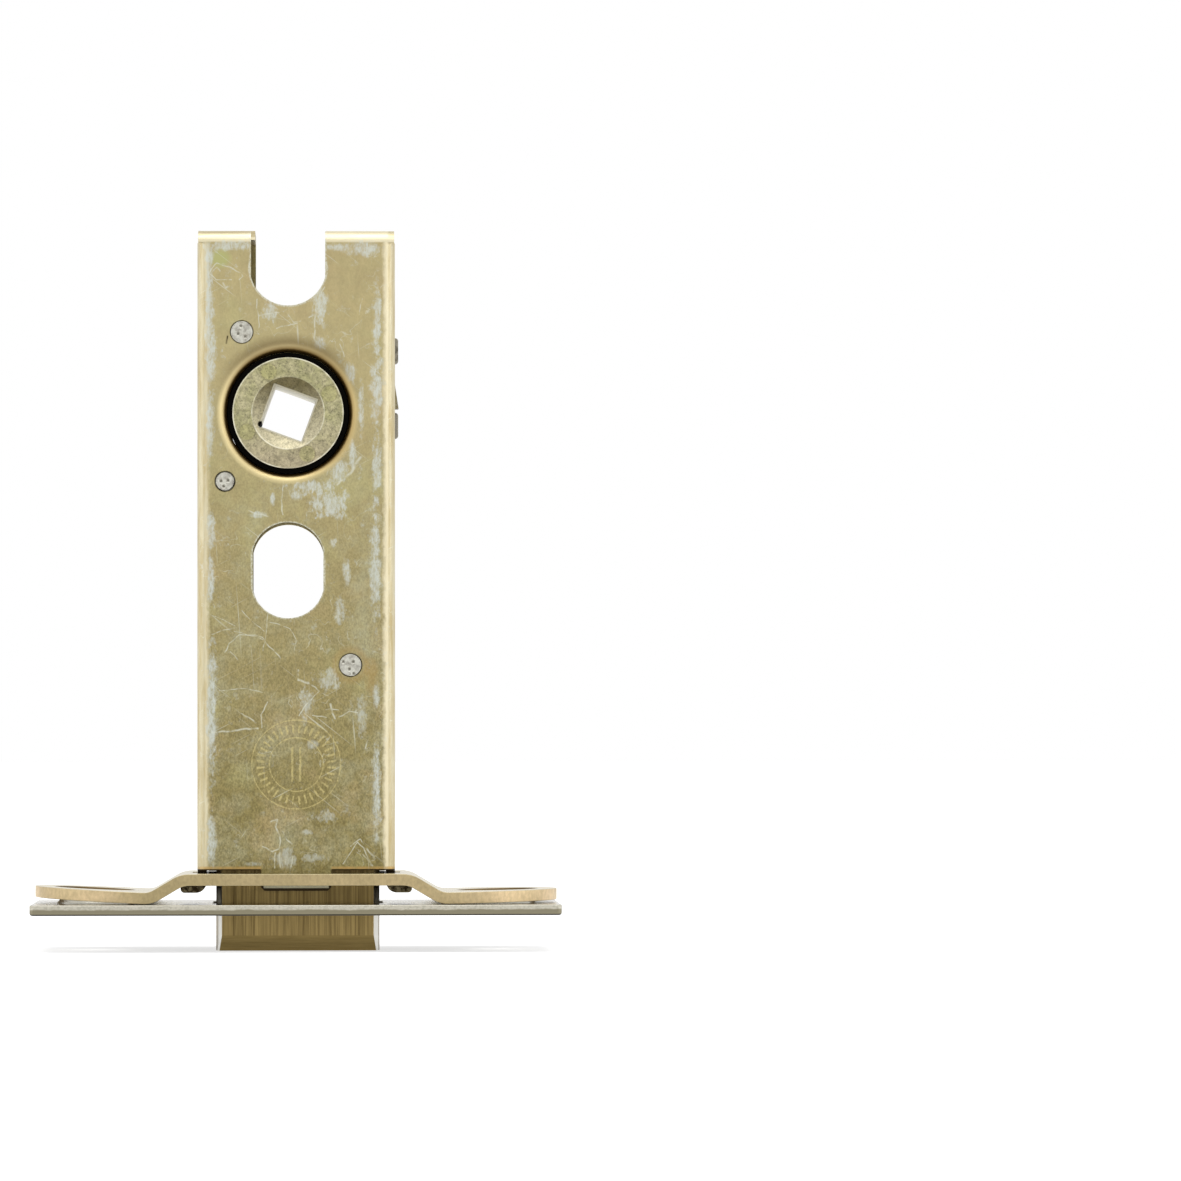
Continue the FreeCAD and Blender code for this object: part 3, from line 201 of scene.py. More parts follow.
def math_of(tree, operation, first, second=0.0, third=0.0, clamp=False):
    """One sum of numbers or sockets."""
    made = node(tree, "Math", {0: first, 1: second, 2: third}, operation=operation, use_clamp=clamp)
    return made.outputs[0]


def product(tree, first, second):
    """Two numbers or masks multiplied."""
    return node(tree, "Math", {0: first, 1: second}, operation="MULTIPLY").outputs[0]


def absolute(tree, value):
    """A number without its sign."""
    return node(tree, "Math", {0: value}, operation="ABSOLUTE").outputs[0]


def most_of(tree, *values):
    """The largest of several masks."""
    largest = values[0]
    for value in values[1:]:
        largest = node(tree, "Math", {0: largest, 1: value}, operation="MAXIMUM").outputs[0]
    return largest


def held(tree, mask):
    """A mask that several effects have added to, held to 1."""
    return math_of(tree, "MINIMUM", mask, 1.0)


def vector_of(tree, operation, first, second=(0.0, 0.0, 0.0), third=(0.0, 0.0, 0.0)):
    """One sum of vectors. Its result is a number for a length or a dot product."""
    made = node(tree, "VectorMath", {0: first, 1: second, 2: third}, operation=operation)
    return made.outputs["Value"] if operation in ("LENGTH", "DOT_PRODUCT") else made.outputs["Vector"]


def ramp_between(tree, value, low, high, start=0.0, end=1.0):
    """A straight ramp: start where value is at low, end where it is at high."""
    if isinstance(low, bpy.types.NodeSocket) or isinstance(high, bpy.types.NodeSocket):
        span = math_of(tree, "SUBTRACT", high, low)
        share = math_of(tree, "DIVIDE", math_of(tree, "SUBTRACT", value, low), span, clamp=True)
    else:
        share = math_of(tree, "MULTIPLY_ADD", value, 1 / (high - low), -low / (high - low), clamp=True)
    if start == 0.0 and end == 1.0:
        return share
    return math_of(tree, "MULTIPLY_ADD", share, end - start, start)


def mix_colour(tree, factor, first, second, blend="MIX"):
    """The first colour where the factor is 0, the second where it is 1."""
    made = node(tree, "Mix", {0: factor, 6: first, 7: second}, data_type="RGBA", blend_type=blend)
    return made.outputs[2]


def mix_value(tree, factor, first, second):
    """The first number where the factor is 0, the second where it is 1."""
    made = node(tree, "Mix", {0: factor, 2: first, 3: second}, data_type="FLOAT")
    return made.outputs[0]


def noise(tree, vector, scale, detail=2.0, roughness=0.5, distortion=0.0):
    """Clouds about 0.5, finer with a larger scale."""
    made = node(tree, "TexNoise", {
        "Vector": vector, "Scale": scale, "Detail": detail,
        "Roughness": roughness, "Distortion": distortion,
    })
    return made.outputs["Fac"]


def stretched(tree, vector, scale=(1, 1, 1), turn=(0, 0, 0), shift=(0, 0, 0)):
    """The place that a pattern is read at, scaled, turned and moved."""
    made = node(tree, "Mapping", {"Vector": vector, "Scale": scale, "Rotation": turn, "Location": shift})
    return made.outputs["Vector"]


def parts_of(tree, vector):
    """The X, Y and Z of a vector, by name."""
    return node(tree, "SeparateXYZ", {"Vector": vector}).outputs


def shaded(tree, colour, level):
    """A colour darkened or lightened by a level that varies over the surface."""
    grey = node(tree, "CombineColor", {"Red": level, "Green": level, "Blue": level}).outputs[0]
    return mix_colour(tree, 1.0, colour, grey, "MULTIPLY")


# Effects that several finishes share

SOCKET_KINDS = {"value": "NodeSocketFloat", "vector": "NodeSocketVector", "colour": "NodeSocketColor"}


def new_effect(name, takes, gives):
    """An empty node group with named inputs and outputs."""
    tree = bpy.data.node_groups.new(name, "ShaderNodeTree")
    for socket_name, kind, default in takes:
        socket = tree.interface.new_socket(name=socket_name, in_out="INPUT", socket_type=SOCKET_KINDS[kind])
        if default is not None:
            socket.default_value = default
    for socket_name, kind in gives:
        tree.interface.new_socket(name=socket_name, in_out="OUTPUT", socket_type=SOCKET_KINDS[kind])
    source = tree.nodes.new("NodeGroupInput")
    result = tree.nodes.new("NodeGroupOutput")
    return tree, source.outputs, result.inputs


def place_effect(tree, effect, sockets):
    """One of the shared effects, set in a finish with its own values."""
    made = tree.nodes.new("ShaderNodeGroup")
    made.node_tree = effect
    for name, value in sockets.items():
        if isinstance(value, bpy.types.NodeSocket):
            tree.links.new(value, made.inputs[name])
        else:
            made.inputs[name].default_value = value
    return made.outputs


def make_rubbed_patch():
    """A ragged oval where handling has rubbed the colour off the plating."""
    tree, source, result = new_effect(
        "rubbed patch",
        [("Vector", "vector", None), ("Blotch", "value", 0.5), ("Centre", "vector", (0, 0, 0)),
         ("Half size", "vector", (1, 1, 1)), ("Raggedness", "value", 0.6), ("So far", "value", 0.0)],
        [("Mask", "value")],
    )
    offset = vector_of(tree, "SUBTRACT", source["Vector"], source["Centre"])
    share = vector_of(tree, "DIVIDE", offset, source["Half size"])
    reach = vector_of(tree, "LENGTH", share)
    uneven = math_of(tree, "MULTIPLY_ADD", source["Blotch"], source["Raggedness"], reach)
    mask = math_of(tree, "MULTIPLY_ADD", uneven, -1.6, 1.8)
    tree.links.new(most_of(tree, mask, source["So far"]), result["Mask"])
    return tree


def make_scratch_stroke():
    """One straight scratch from start to end."""
    tree, source, result = new_effect(
        "scratch stroke",
        [("Vector", "vector", None), ("Start", "vector", (0, 0, 0)), ("End", "vector", (1, 0, 0)),
         ("Width", "value", 0.0001), ("So far", "value", 0.0)],
        [("Mask", "value")],
    )
    from_start = vector_of(tree, "SUBTRACT", source["Vector"], source["Start"])
    way = vector_of(tree, "SUBTRACT", source["End"], source["Start"])
    along = vector_of(tree, "DOT_PRODUCT", from_start, way)
    share = math_of(tree, "DIVIDE", along, vector_of(tree, "DOT_PRODUCT", way, way))
    share = math_of(tree, "MINIMUM", most_of(tree, share, 0.0), 1.0)
    share = node(tree, "CombineXYZ", {"X": share, "Y": share, "Z": share}).outputs["Vector"]
    back = vector_of(tree, "SUBTRACT", source["Start"], source["End"])
    distance = vector_of(tree, "LENGTH", vector_of(tree, "MULTIPLY_ADD", share, back, from_start))
    widths = math_of(tree, "DIVIDE", distance, source["Width"])
    mask = math_of(tree, "MULTIPLY_ADD", widths, -1.45, 1.45)
    tree.links.new(most_of(tree, mask, source["So far"]), result["Mask"])
    return tree


def make_hair_scratches():
    """Fine straight scratches in three directions, some of them bundled."""
    tree, source, result = new_effect(
        "hair scratches",
        [("Vector", "vector", None), ("Fineness", "value", 4200.0), ("Length", "value", 130.0),
         ("Amount", "value", 0.5)],
        [("Mask", "value")],
    )
    masks = []
    for number, turn in enumerate((4, 52, 118)):
        turn_about_y = (0, math.radians(turn), 0)
        turned = stretched(tree, source["Vector"], turn=turn_about_y, shift=(0.013 * number, 0, 0))
        parts = parts_of(tree, turned)
        across = product(tree, parts["X"], source["Fineness"])
        along = product(tree, parts["Z"], source["Length"])
        depth = product(tree, parts["Y"], source["Length"])
        lines = node(tree, "CombineXYZ", {"X": across, "Y": depth, "Z": along}).outputs["Vector"]
        masks.append(noise(tree, lines, 1.0, 1.0, 0.4))
    strongest = most_of(tree, *masks)
    low = math_of(tree, "SUBTRACT", 0.86, product(tree, source["Amount"], 0.2))
    high = math_of(tree, "ADD", low, 0.06)
    bundles = ramp_between(tree, noise(tree, source["Vector"], 160.0, 2.0), 0.42, 0.6, 0.15, 1.0)
    shown = ramp_between(tree, strongest, low, high)
    tree.links.new(product(tree, shown, bundles), result["Mask"])
    return tree


def make_scribbles():
    """Thin curling scratches, where a hard point has wandered over the plating."""
    tree, source, result = new_effect(
        "scribbles",
        [("Vector", "vector", None), ("Scale", "value", 300.0), ("Line", "value", 0.008),
         ("Amount", "value", 0.5)],
        [("Mask", "value")],
    )
    field = noise(tree, source["Vector"], source["Scale"], 2.5, 0.55, 0.6)
    off_line = absolute(tree, math_of(tree, "SUBTRACT", field, 0.5))
    line = ramp_between(tree, off_line, source["Line"], 0.0)
    gate = noise(tree, stretched(tree, source["Vector"], shift=(0.31, 0.0, 0.17)), 210.0, 3.0, 0.6)
    limit = math_of(tree, "SUBTRACT", 0.72, product(tree, source["Amount"], 0.3))
    shown = ramp_between(tree, gate, limit, math_of(tree, "ADD", limit, 0.06))
    tree.links.new(product(tree, line, shown), result["Mask"])
    return tree


def make_brushed_lines():
    """Parallel grinding lines, fine across and long along one direction."""
    tree, source, result = new_effect(
        "brushed lines",
        [("Vector", "vector", None), ("Across", "vector", (1, 1, 1))],
        [("Lines", "value"), ("Bands", "value")],
    )
    fine = vector_of(tree, "MULTIPLY", source["Vector"], source["Across"])
    lines = noise(tree, fine, 1.0, 3.0, 0.7)
    coarse = vector_of(tree, "MULTIPLY", fine, (0.22, 0.22, 0.22))
    bands = noise(tree, coarse, 1.0, 2.0, 0.5)
    tree.links.new(lines, result["Lines"])
    tree.links.new(bands, result["Bands"])
    return tree


def make_ring_about_centre():
    """A thin ring about a centre, and the distance from it, both across the given plane."""
    tree, source, result = new_effect(
        "ring about centre",
        [("Vector", "vector", None), ("Centre", "vector", (0, 0, 0)), ("Plane", "vector", (1, 0, 1)),
         ("Radius", "value", 0.0013), ("Width", "value", 0.0001), ("So far", "value", 0.0)],
        [("Mask", "value"), ("Distance", "value")],
    )
    offset = vector_of(tree, "SUBTRACT", source["Vector"], source["Centre"])
    distance = vector_of(tree, "LENGTH", vector_of(tree, "MULTIPLY", offset, source["Plane"]))
    off_ring = absolute(tree, math_of(tree, "SUBTRACT", distance, source["Radius"]))
    mask = math_of(tree, "SUBTRACT", 1.0, math_of(tree, "DIVIDE", off_ring, source["Width"]))
    tree.links.new(most_of(tree, mask, source["So far"]), result["Mask"])
    tree.links.new(distance, result["Distance"])
    return tree


rubbed_patch = make_rubbed_patch()
scratch_stroke = make_scratch_stroke()
hair_scratches = make_hair_scratches()
scribbles = make_scribbles()
brushed_lines = make_brushed_lines()
ring_about_centre = make_ring_about_centre()


# Finishes

def new_finish(name, metallic):
    """A material, its node tree, its shader's sockets and the place on the object."""
    material = bpy.data.materials.new(name)
    material.use_nodes = True
    tree = material.node_tree
    shader = tree.nodes["Principled BSDF"]
    shader.inputs["Metallic"].default_value = metallic
    place = node(tree, "TexCoord").outputs["Object"]
    return material, tree, shader.inputs, place


def facing(tree):
    """How far the surface faces along X, Y and Z."""
    return parts_of(tree, node(tree, "TexCoord").outputs["Normal"])


def slot_distance(tree, parts, centre_z, half_straight):
    """Distance from the middle line of a slot on the follower line, as long as its straight part."""
    across = math_of(tree, "SUBTRACT", parts["X"], HUB_X)
    off_middle = absolute(tree, math_of(tree, "SUBTRACT", parts["Z"], centre_z))
    past = most_of(tree, math_of(tree, "SUBTRACT", off_middle, half_straight), 0.0)
    return vector_of(tree, "LENGTH", node(tree, "CombineXYZ", {"X": across, "Z": past}).outputs["Vector"])


def link_finish(tree, shader, colour, rough, relief, depth, strength):
    """Gives a shader its colour, its roughness and its fine relief."""
    bump = node(tree, "Bump", {"Height": relief, "Distance": depth, "Strength": strength})
    tree.links.new(colour, shader["Base Color"])
    tree.links.new(rough, shader["Roughness"])
    tree.links.new(bump.outputs["Normal"], shader["Normal"])


# Where the plating is rubbed pale: centre X and Z, half width and half height, in millimetres,
# and how ragged it is
RUBBED_PLACES = {
    "below the tail bend, left": (-7.7, 76.0, 2.6, 0.6, 1.6),
    "upper left corner": (-9.9, 74.9, 0.5, 1.2, 1.2),
    "below the tail bend, right": (7.7, 75.7, 2.2, 0.9, 1.2),
    "beside the notch, right": (4.8, 75.9, 1.3, 0.5, 1.8),
    "left bend, top": (-9.9, 68.0, 0.45, 7.0, 2.0),
    "left bend, upper": (-9.7, 64.0, 0.6, 4.6, 1.8),
    "left bend beside the lip": (-9.8, 56.0, 0.5, 4.0, 2.0),
    "left bend, middle": (-9.7, 43.7, 0.45, 2.4, 1.9),
    "left bend beside the slot": (-9.7, 37.7, 0.4, 2.6, 1.6),
    "left bend beside the ring": (-9.6, 23.5, 0.6, 7.5, 1.7),
    "left bend at the foot": (-9.6, 8.4, 0.55, 2.9, 1.5),
    "right bend, upper": (9.2, 67.5, 0.5, 4.2, 2.4),
    "right bend beside the lip": (9.2, 60.0, 0.75, 4.0, 2.2),
    "right bend, middle": (9.2, 51.0, 0.5, 4.0, 2.4),
    "right bend beside the slot": (9.0, 39.5, 0.7, 6.0, 2.2),
    "right bend above the ring": (9.1, 24.9, 0.4, 1.4, 1.0),
    "right bend beside the ring": (9.1, 14.0, 0.5, 5.4, 2.2),
    "left of the notch's bottom": (-2.9, 68.4, 0.9, 1.1, 2.8),
    "right of the notch's bottom": (2.7, 69.2, 0.8, 2.2, 2.6),
    "above the lip, right": (2.7, 65.0, 0.6, 0.9, 1.6),
    "round the lip, upper right": (6.1, 61.6, 0.7, 1.3, 2.2),
    "round the lip, right": (7.4, 57.2, 0.35, 3.2, 1.7),
    "round the lip, lower right": (6.4, 52.4, 0.5, 1.7, 1.6),
    "below the lip, right": (4.9, 50.3, 1.0, 1.3, 2.2),
    "below the lip, middle": (1.4, 48.6, 2.3, 0.8, 3.2),
    "between lip and slot": (0.0, 47.6, 0.75, 0.6, 0.9),
    "left of that": (-2.7, 47.2, 0.32, 0.7, 1.0),
    "above the slot, right": (3.9, 46.6, 2.1, 1.6, 3.0),
    "above the slot, left": (-4.3, 45.4, 0.9, 0.35, 1.6),
    "right of the slot": (5.8, 38.9, 0.5, 1.5, 1.3),
    "right of the slot, above": (4.2, 42.2, 0.45, 0.6, 1.8),
    "right of the slot, below": (5.0, 34.3, 0.5, 1.4, 2.4),
    "beside the stop pin": (3.6, 26.6, 1.3, 1.1, 3.2),
    "above the ring": (1.1, 24.0, 0.7, 1.6, 3.0),
    "above the ring, right": (7.4, 22.6, 0.6, 2.0, 2.6),
    "in the ring": (1.9, 19.3, 0.7, 0.5, 1.4),
    "below the ring, right": (3.4, 11.2, 1.6, 0.8, 3.2),
    "at the foot, middle": (-1.2, 6.4, 1.3, 1.2, 2.8),
    "at the foot, right": (2.0, 6.4, 1.5, 0.45, 2.2),
    "at the foot, left": (-4.8, 5.7, 1.1, 0.25, 1.4),
    "near the foot, middle": (1.2, 9.3, 0.7, 0.35, 1.8),
}

# Single stains on the front: centre X and Z, half width and half height, in millimetres,
# then how ragged and how strong it is, and its colour
STAINS = {
    "green corner by the tail": (-8.6, 74.6, 1.3, 1.2, 0.6, 0.8, CORNER_GREEN),
    "rust beside the stop pin": (8.6, 27.2, 0.9, 2.2, 2.0, 0.4, ZINC_AMBER),
}
PIN_BURR = ((-7.8, 65.7), (-7.95, 64.9))

# The share of its width that a scratch keeps at full strength
SCRATCH_SHARE = 0.65

# Scratches that stand out: width, then the X and Z of each corner of the stroke, in millimetres
SCRATCHES = {
    "long side below the tail": (0.15, (-9.0, 74.1), (-6.3, 73.0), (-6.0, 72.6), (-6.5, 72.1)),
    "short side below the tail": (0.13, (-7.5, 72.1), (-9.1, 72.2), (-9.9, 72.8), (-9.0, 74.1)),
    "inside it": (0.16, (-8.6, 73.1), (-9.0, 73.5), (-9.4, 73.0)),
    "under it": (0.22, (-8.4, 71.7), (-8.0, 71.1), (-7.7, 71.3)),
    "upright left of the notch": (0.14, (-4.4, 69.9), (-4.3, 66.5)),
    "level left of the notch": (0.18, (-4.3, 68.1), (-1.9, 68.4)),
    "below the notch": (0.14, (-0.9, 68.3), (-0.3, 67.4), (0.6, 67.5)),
    "short below the notch": (0.16, (-2.3, 66.6), (-1.4, 66.9), (0.2, 67.3)),
    "upright right of the notch": (0.2, (2.2, 69.4), (2.1, 65.3)),
    "slanting right of the notch": (0.16, (3.3, 71.4), (2.5, 69.9), (2.7, 68.7), (1.5, 67.8)),
    "far right": (0.12, (7.4, 69.9), (7.2, 68.3)),
    "above the lip, right": (0.24, (1.9, 65.7), (2.5, 64.8), (3.3, 64.3)),
    "short by the lip": (0.12, (5.0, 64.8), (5.5, 63.5)),
    "down to the slot": (0.15, (-1.6, 49.2), (-1.6, 45.4)),
    "left above the slot": (0.16, (-5.4, 45.9), (-4.3, 45.4), (-3.2, 45.2)),
    "long under the lip": (0.3, (7.4, 52.0), (6.0, 50.0), (4.6, 48.8)),
    "fan, top": (0.09, (-9.5, 34.0), (-6.9, 32.8)),
    "fan, middle": (0.12, (-9.5, 31.9), (-6.9, 32.5)),
    "fan, right": (0.09, (-6.9, 32.1), (-3.9, 31.2)),
    "fan, upper right": (0.11, (-6.2, 34.5), (-3.7, 32.1)),
    "below the slot": (0.1, (-3.2, 34.4), (-3.7, 30.0)),
    "arch": (0.13, (-8.2, 29.8), (-7.6, 30.8), (-6.4, 31.6), (-5.1, 31.7), (-3.9, 31.4), (-3.0, 30.4),
             (-1.8, 29.1)),
    "slash under the arch": (0.13, (-7.6, 29.9), (-6.6, 28.9)),
    "second arch": (0.09, (-3.2, 33.2), (-2.1, 33.0), (-0.7, 32.4), (0.0, 31.2), (-0.2, 29.5)),
    "level beside the ring": (0.24, (-9.6, 20.6), (-4.4, 21.1)),
    "level above the ring": (0.12, (-8.7, 25.5), (-5.8, 25.7), (-3.9, 25.2)),
    "curve onto the ring": (0.14, (-3.2, 24.0), (-4.0, 22.6), (-3.9, 21.2)),
    "short above the ring": (0.15, (-6.2, 22.9), (-4.6, 21.8)),
    "hook": (0.26, (0.2, 27.6), (0.3, 26.6), (1.4, 26.3)),
    "end of the hook": (0.14, (1.4, 26.3), (2.6, 25.4), (1.3, 24.0), (0.4, 22.6)),
    "onto the ring, right": (0.12, (1.9, 22.6), (3.4, 22.3)),
    "tail of the cross": (0.15, (4.7, 22.4), (6.1, 23.1), (7.0, 22.9)),
    "cross, upright": (0.22, (3.9, 23.9), (4.2, 22.2)),
    "cross, level": (0.14, (3.4, 23.2), (4.7, 23.3)),
    "right bend": (0.2, (7.5, 20.0), (8.1, 19.7), (7.9, 18.9)),
    "curl": (0.2, (-2.9, 10.5), (-2.2, 10.8), (-2.3, 9.8), (-1.8, 8.4)),
    "end of the curl": (0.16, (-1.8, 8.4), (-2.0, 7.5), (-2.8, 7.2), (-3.8, 7.6)),
    "beside the curl": (0.15, (-1.5, 9.4), (-1.1, 8.6), (-0.4, 8.0)),
    "by the foot, first": (0.18, (-2.4, 7.0), (-2.4, 5.2)),
    "by the foot, second": (0.18, (-1.9, 7.0), (-1.8, 5.3)),
    "by the foot, third": (0.2, (-1.2, 6.5), (-1.3, 5.4)),
    "by the foot, fourth": (0.18, (-0.4, 6.5), (-0.6, 5.4)),
    "peak, left": (0.14, (5.3, 5.8), (6.9, 8.1)),
    "peak, right": (0.14, (6.9, 8.1), (7.7, 7.4), (8.4, 5.5)),
    "peak, crossing": (0.12, (6.2, 7.7), (7.2, 8.5), (7.7, 7.9)),
    "peak, inner": (0.14, (7.5, 6.9), (8.6, 5.4)),
    "beside the peak": (0.22, (8.0, 7.4), (8.7, 6.5)),
}

# The pins' X, Z and radius in millimetres
PIN_CENTRES = {
    "spring_pin_upper": (-6.2, 66.2, 1.3),
    "spring_pin_lower": (-8.1, 49.2, 1.15),
    "stop_pin": (6.15, 28.3, 1.3),
}

# The dents of the staking: their X and Z from the middle of the pin, in millimetres
DENTS = {
    "spring_pin_upper": [(-0.1, 0.72), (-0.4, -0.17), (0.41, -0.48)],
    "spring_pin_lower": [(-0.45, 0.05), (0.35, 0.12), (-0.15, -0.55)],
    "stop_pin": [(-0.8, 0.39), (0.34, 0.39), (-0.1, -0.45), (0.4, -0.98)],
}
DENT_DEPTH = 0.24 * MM
DENT_RADIUS = 0.21 * MM

# The round stamp near the foot: two rings with plain ticks between them
STAMP_CENTRE = (0.0, FRONT, 17.0 * MM)
STAMP_OUTER = 5.05 * MM
STAMP_INNER = 3.05 * MM
STAMP_LINE = 0.1 * MM
STAMP_TICKS = 36
STAMP_TICK_HALF = 0.42 * MM
STAMP_BAR_REACH = 0.45 * MM
STAMP_BAR_HALF = 1.9 * MM


def on_face(x, z):
    """A point of the front face, given in millimetres."""
    return (x * MM, FRONT, z * MM)


def stamped_rings(tree, place):
    """Mask of the stamp's two rings, its ring of ticks and the two bars in its middle."""
    rings = 0.0
    for radius in (STAMP_OUTER, STAMP_INNER):
        made = place_effect(tree, ring_about_centre, {
            "Vector": place, "Centre": STAMP_CENTRE, "Radius": radius, "Width": STAMP_LINE, "So far": rings,
        })
        rings = made["Mask"]
    offset = vector_of(tree, "SUBTRACT", place, STAMP_CENTRE)
    parts = parts_of(tree, offset)
    angle = math_of(tree, "ARCTAN2", parts["Z"], parts["X"])
    turns = product(tree, angle, STAMP_TICKS / math.tau)
    off_tick = absolute(tree, math_of(tree, "SUBTRACT", math_of(tree, "FRACT", turns), 0.5))
    ticks = ramp_between(tree, off_tick, 0.22, 0.08)
    middle = (STAMP_OUTER + STAMP_INNER) / 2
    off_band = absolute(tree, math_of(tree, "SUBTRACT", made["Distance"], middle))
    in_band = ramp_between(tree, off_band, STAMP_TICK_HALF + 0.1 * MM, STAMP_TICK_HALF)
    ticks = product(tree, ticks, in_band)
    across = absolute(tree, parts["X"])
    bar = absolute(tree, math_of(tree, "SUBTRACT", across, STAMP_BAR_REACH))
    bar = ramp_between(tree, bar, 0.16 * MM, 0.06 * MM)
    length = ramp_between(tree, absolute(tree, parts["Z"]), STAMP_BAR_HALF + 0.1 * MM, STAMP_BAR_HALF)
    return held(tree, most_of(tree, rings, ticks, product(tree, bar, length)))


def case_ground(tree, place, parts, height, grain, shade):
    """Passivated zinc: olive and speckled at the foot, straw above, clouded with green and pink."""
    base = mix_colour(tree, height, ZINC_LOWER, ZINC_UPPER)
    haze = noise(tree, stretched(tree, place, shift=(0.3, 0.1, 0.2)), 170.0, 5.0, 0.7)
    less_above = ramp_between(tree, height, 1.0, 0.5, 0.12, 0.6)
    haze = product(tree, ramp_between(tree, haze, 0.46, 0.7), less_above)
    base = mix_colour(tree, haze, base, ZINC_GREY)
    tint = noise(tree, place, 120.0, 4.0, 0.6)
    base = mix_colour(tree, ramp_between(tree, tint, 0.54, 0.74, 0.0, 0.6), base, ZINC_GREEN)
    base = mix_colour(tree, ramp_between(tree, tint, 0.46, 0.28, 0.0, 0.5), base, ZINC_PINK)
    speckle = ramp_between(tree, grain, 0.34, 0.66, -1.0, 1.0)
    depth = ramp_between(tree, parts["Z"], TONE_HEAD, TONE_FOOT + 2 * MM, 0.05, 0.24)
    level = math_of(tree, "MULTIPLY_ADD", speckle, depth, 1.0)
    level = product(tree, level, ramp_between(tree, shade, 0.34, 0.66, 0.93, 1.06))
    return shaded(tree, base, level)


def case_stains(tree, place, blotch, base):
    """The single stains, laid over the plating."""
    for x, z, half_x, half_z, ragged, strength, colour in STAINS.values():
        stain = place_effect(tree, rubbed_patch, {
            "Vector": place, "Blotch": blotch, "Centre": on_face(x, z),
            "Half size": (half_x * MM, 2 * MM, half_z * MM), "Raggedness": ragged,
        })["Mask"]
        base = mix_colour(tree, product(tree, held(tree, stain), strength), base, colour)
    return base


def bend_colours(tree, place, parts, tail_bend):
    """The rubbed bends: cream with lengthwise streaks, palest beside the front on the right, and painted
    shade across the middle of the side bends.
    """
    upright = noise(tree, stretched(tree, place, scale=(1500, 1200, 170)), 1.0, 4.0, 0.65)
    level = noise(tree, stretched(tree, place, scale=(150, 1500, 2200)), 1.0, 3.0, 0.6)
    streak = mix_value(tree, tail_bend, upright, level)
    colour = mix_colour(tree, ramp_between(tree, streak, 0.36, 0.64), BEND_TAN, BEND_CREAM)
    side = absolute(tree, parts["X"])
    # Painted shade: the side bends are darkened across their middle, where they face halfway round from the
    # light.
    bend_middle_shade = product(tree, ramp_between(tree, side, BEND_START + 0.3 * MM, BEND_START + 0.5 * MM),
                  ramp_between(tree, side, BEND_START + 1.05 * MM, BEND_START + 0.85 * MM, 0.0, -0.22))
    level = math_of(tree, "MULTIPLY_ADD", bend_middle_shade, math_of(tree, "SUBTRACT", 1.0, tail_bend), 1.0)
    colour = shaded(tree, colour, level)
    inner = ramp_between(tree, parts["X"], BEND_START + 0.55 * MM, BEND_START + 0.35 * MM)
    right = ramp_between(tree, parts["X"], 0.0, 0.1 * MM)
    low_tail = ramp_between(tree, parts["Z"], CASE_TOP - 0.6 * MM, CASE_TOP - 0.9 * MM)
    white = most_of(tree, product(tree, inner, right), product(tree, low_tail, tail_bend))
    return mix_colour(tree, product(tree, white, 0.75), colour, BEND_WHITE)


def case_bends(tree, place, parts, blotch, base):
    """The bends round the front, rubbed along a ragged edge."""
    uneven = math_of(tree, "MULTIPLY_ADD", blotch, 0.9 * MM, absolute(tree, parts["X"]))
    bend = ramp_between(tree, uneven, BEND_START - 0.25 * MM, BEND_START + 0.2 * MM)
    tail_start = CASE_TOP - BEND
    tail_bend = ramp_between(tree, parts["Z"], tail_start - 0.02 * MM, tail_start + 0.15 * MM)
    near_front = math_of(tree, "MULTIPLY_ADD", blotch, 3.0 * MM, parts["Y"])
    near_front = ramp_between(tree, near_front, FRONT + 2.9 * MM, FRONT + 1.7 * MM)
    bends = product(tree, most_of(tree, bend, tail_bend), near_front)
    colour = bend_colours(tree, place, parts, tail_bend)
    return mix_colour(tree, product(tree, bends, 0.92), base, colour)


def case_patches(tree, place, parts, height, blotch):
    """Mask of the places in the plating that are rubbed pale, weaker at the foot."""
    rubbed = 0.0
    for x, z, half_x, half_z, ragged in RUBBED_PLACES.values():
        rubbed = place_effect(tree, rubbed_patch, {
            "Vector": place, "Blotch": blotch, "Centre": on_face(x, z),
            "Half size": (half_x * MM, 2 * MM, half_z * MM), "Raggedness": 1.0 + ragged, "So far": rubbed,
        })["Mask"]
    flecks = ramp_between(tree, noise(tree, place, 760.0, 5.0, 0.75), 0.6, 0.68, 0.0, 0.5)
    rubbed = held(tree, most_of(tree, rubbed, flecks))
    streaks = noise(tree, stretched(tree, place, scale=(4200, 900, 1500), turn=(0, 0.3, 0)), 1.0, 3.0, 0.75)
    rubbed = product(tree, rubbed, ramp_between(tree, streaks, 0.34, 0.58, 0.2, 0.78))
    most = most_of(tree, ramp_between(tree, height, 0.2, 0.6, 0.6, 0.95),
                   ramp_between(tree, absolute(tree, parts["X"]), 8.0 * MM, 9.2 * MM))
    return product(tree, rubbed, most)


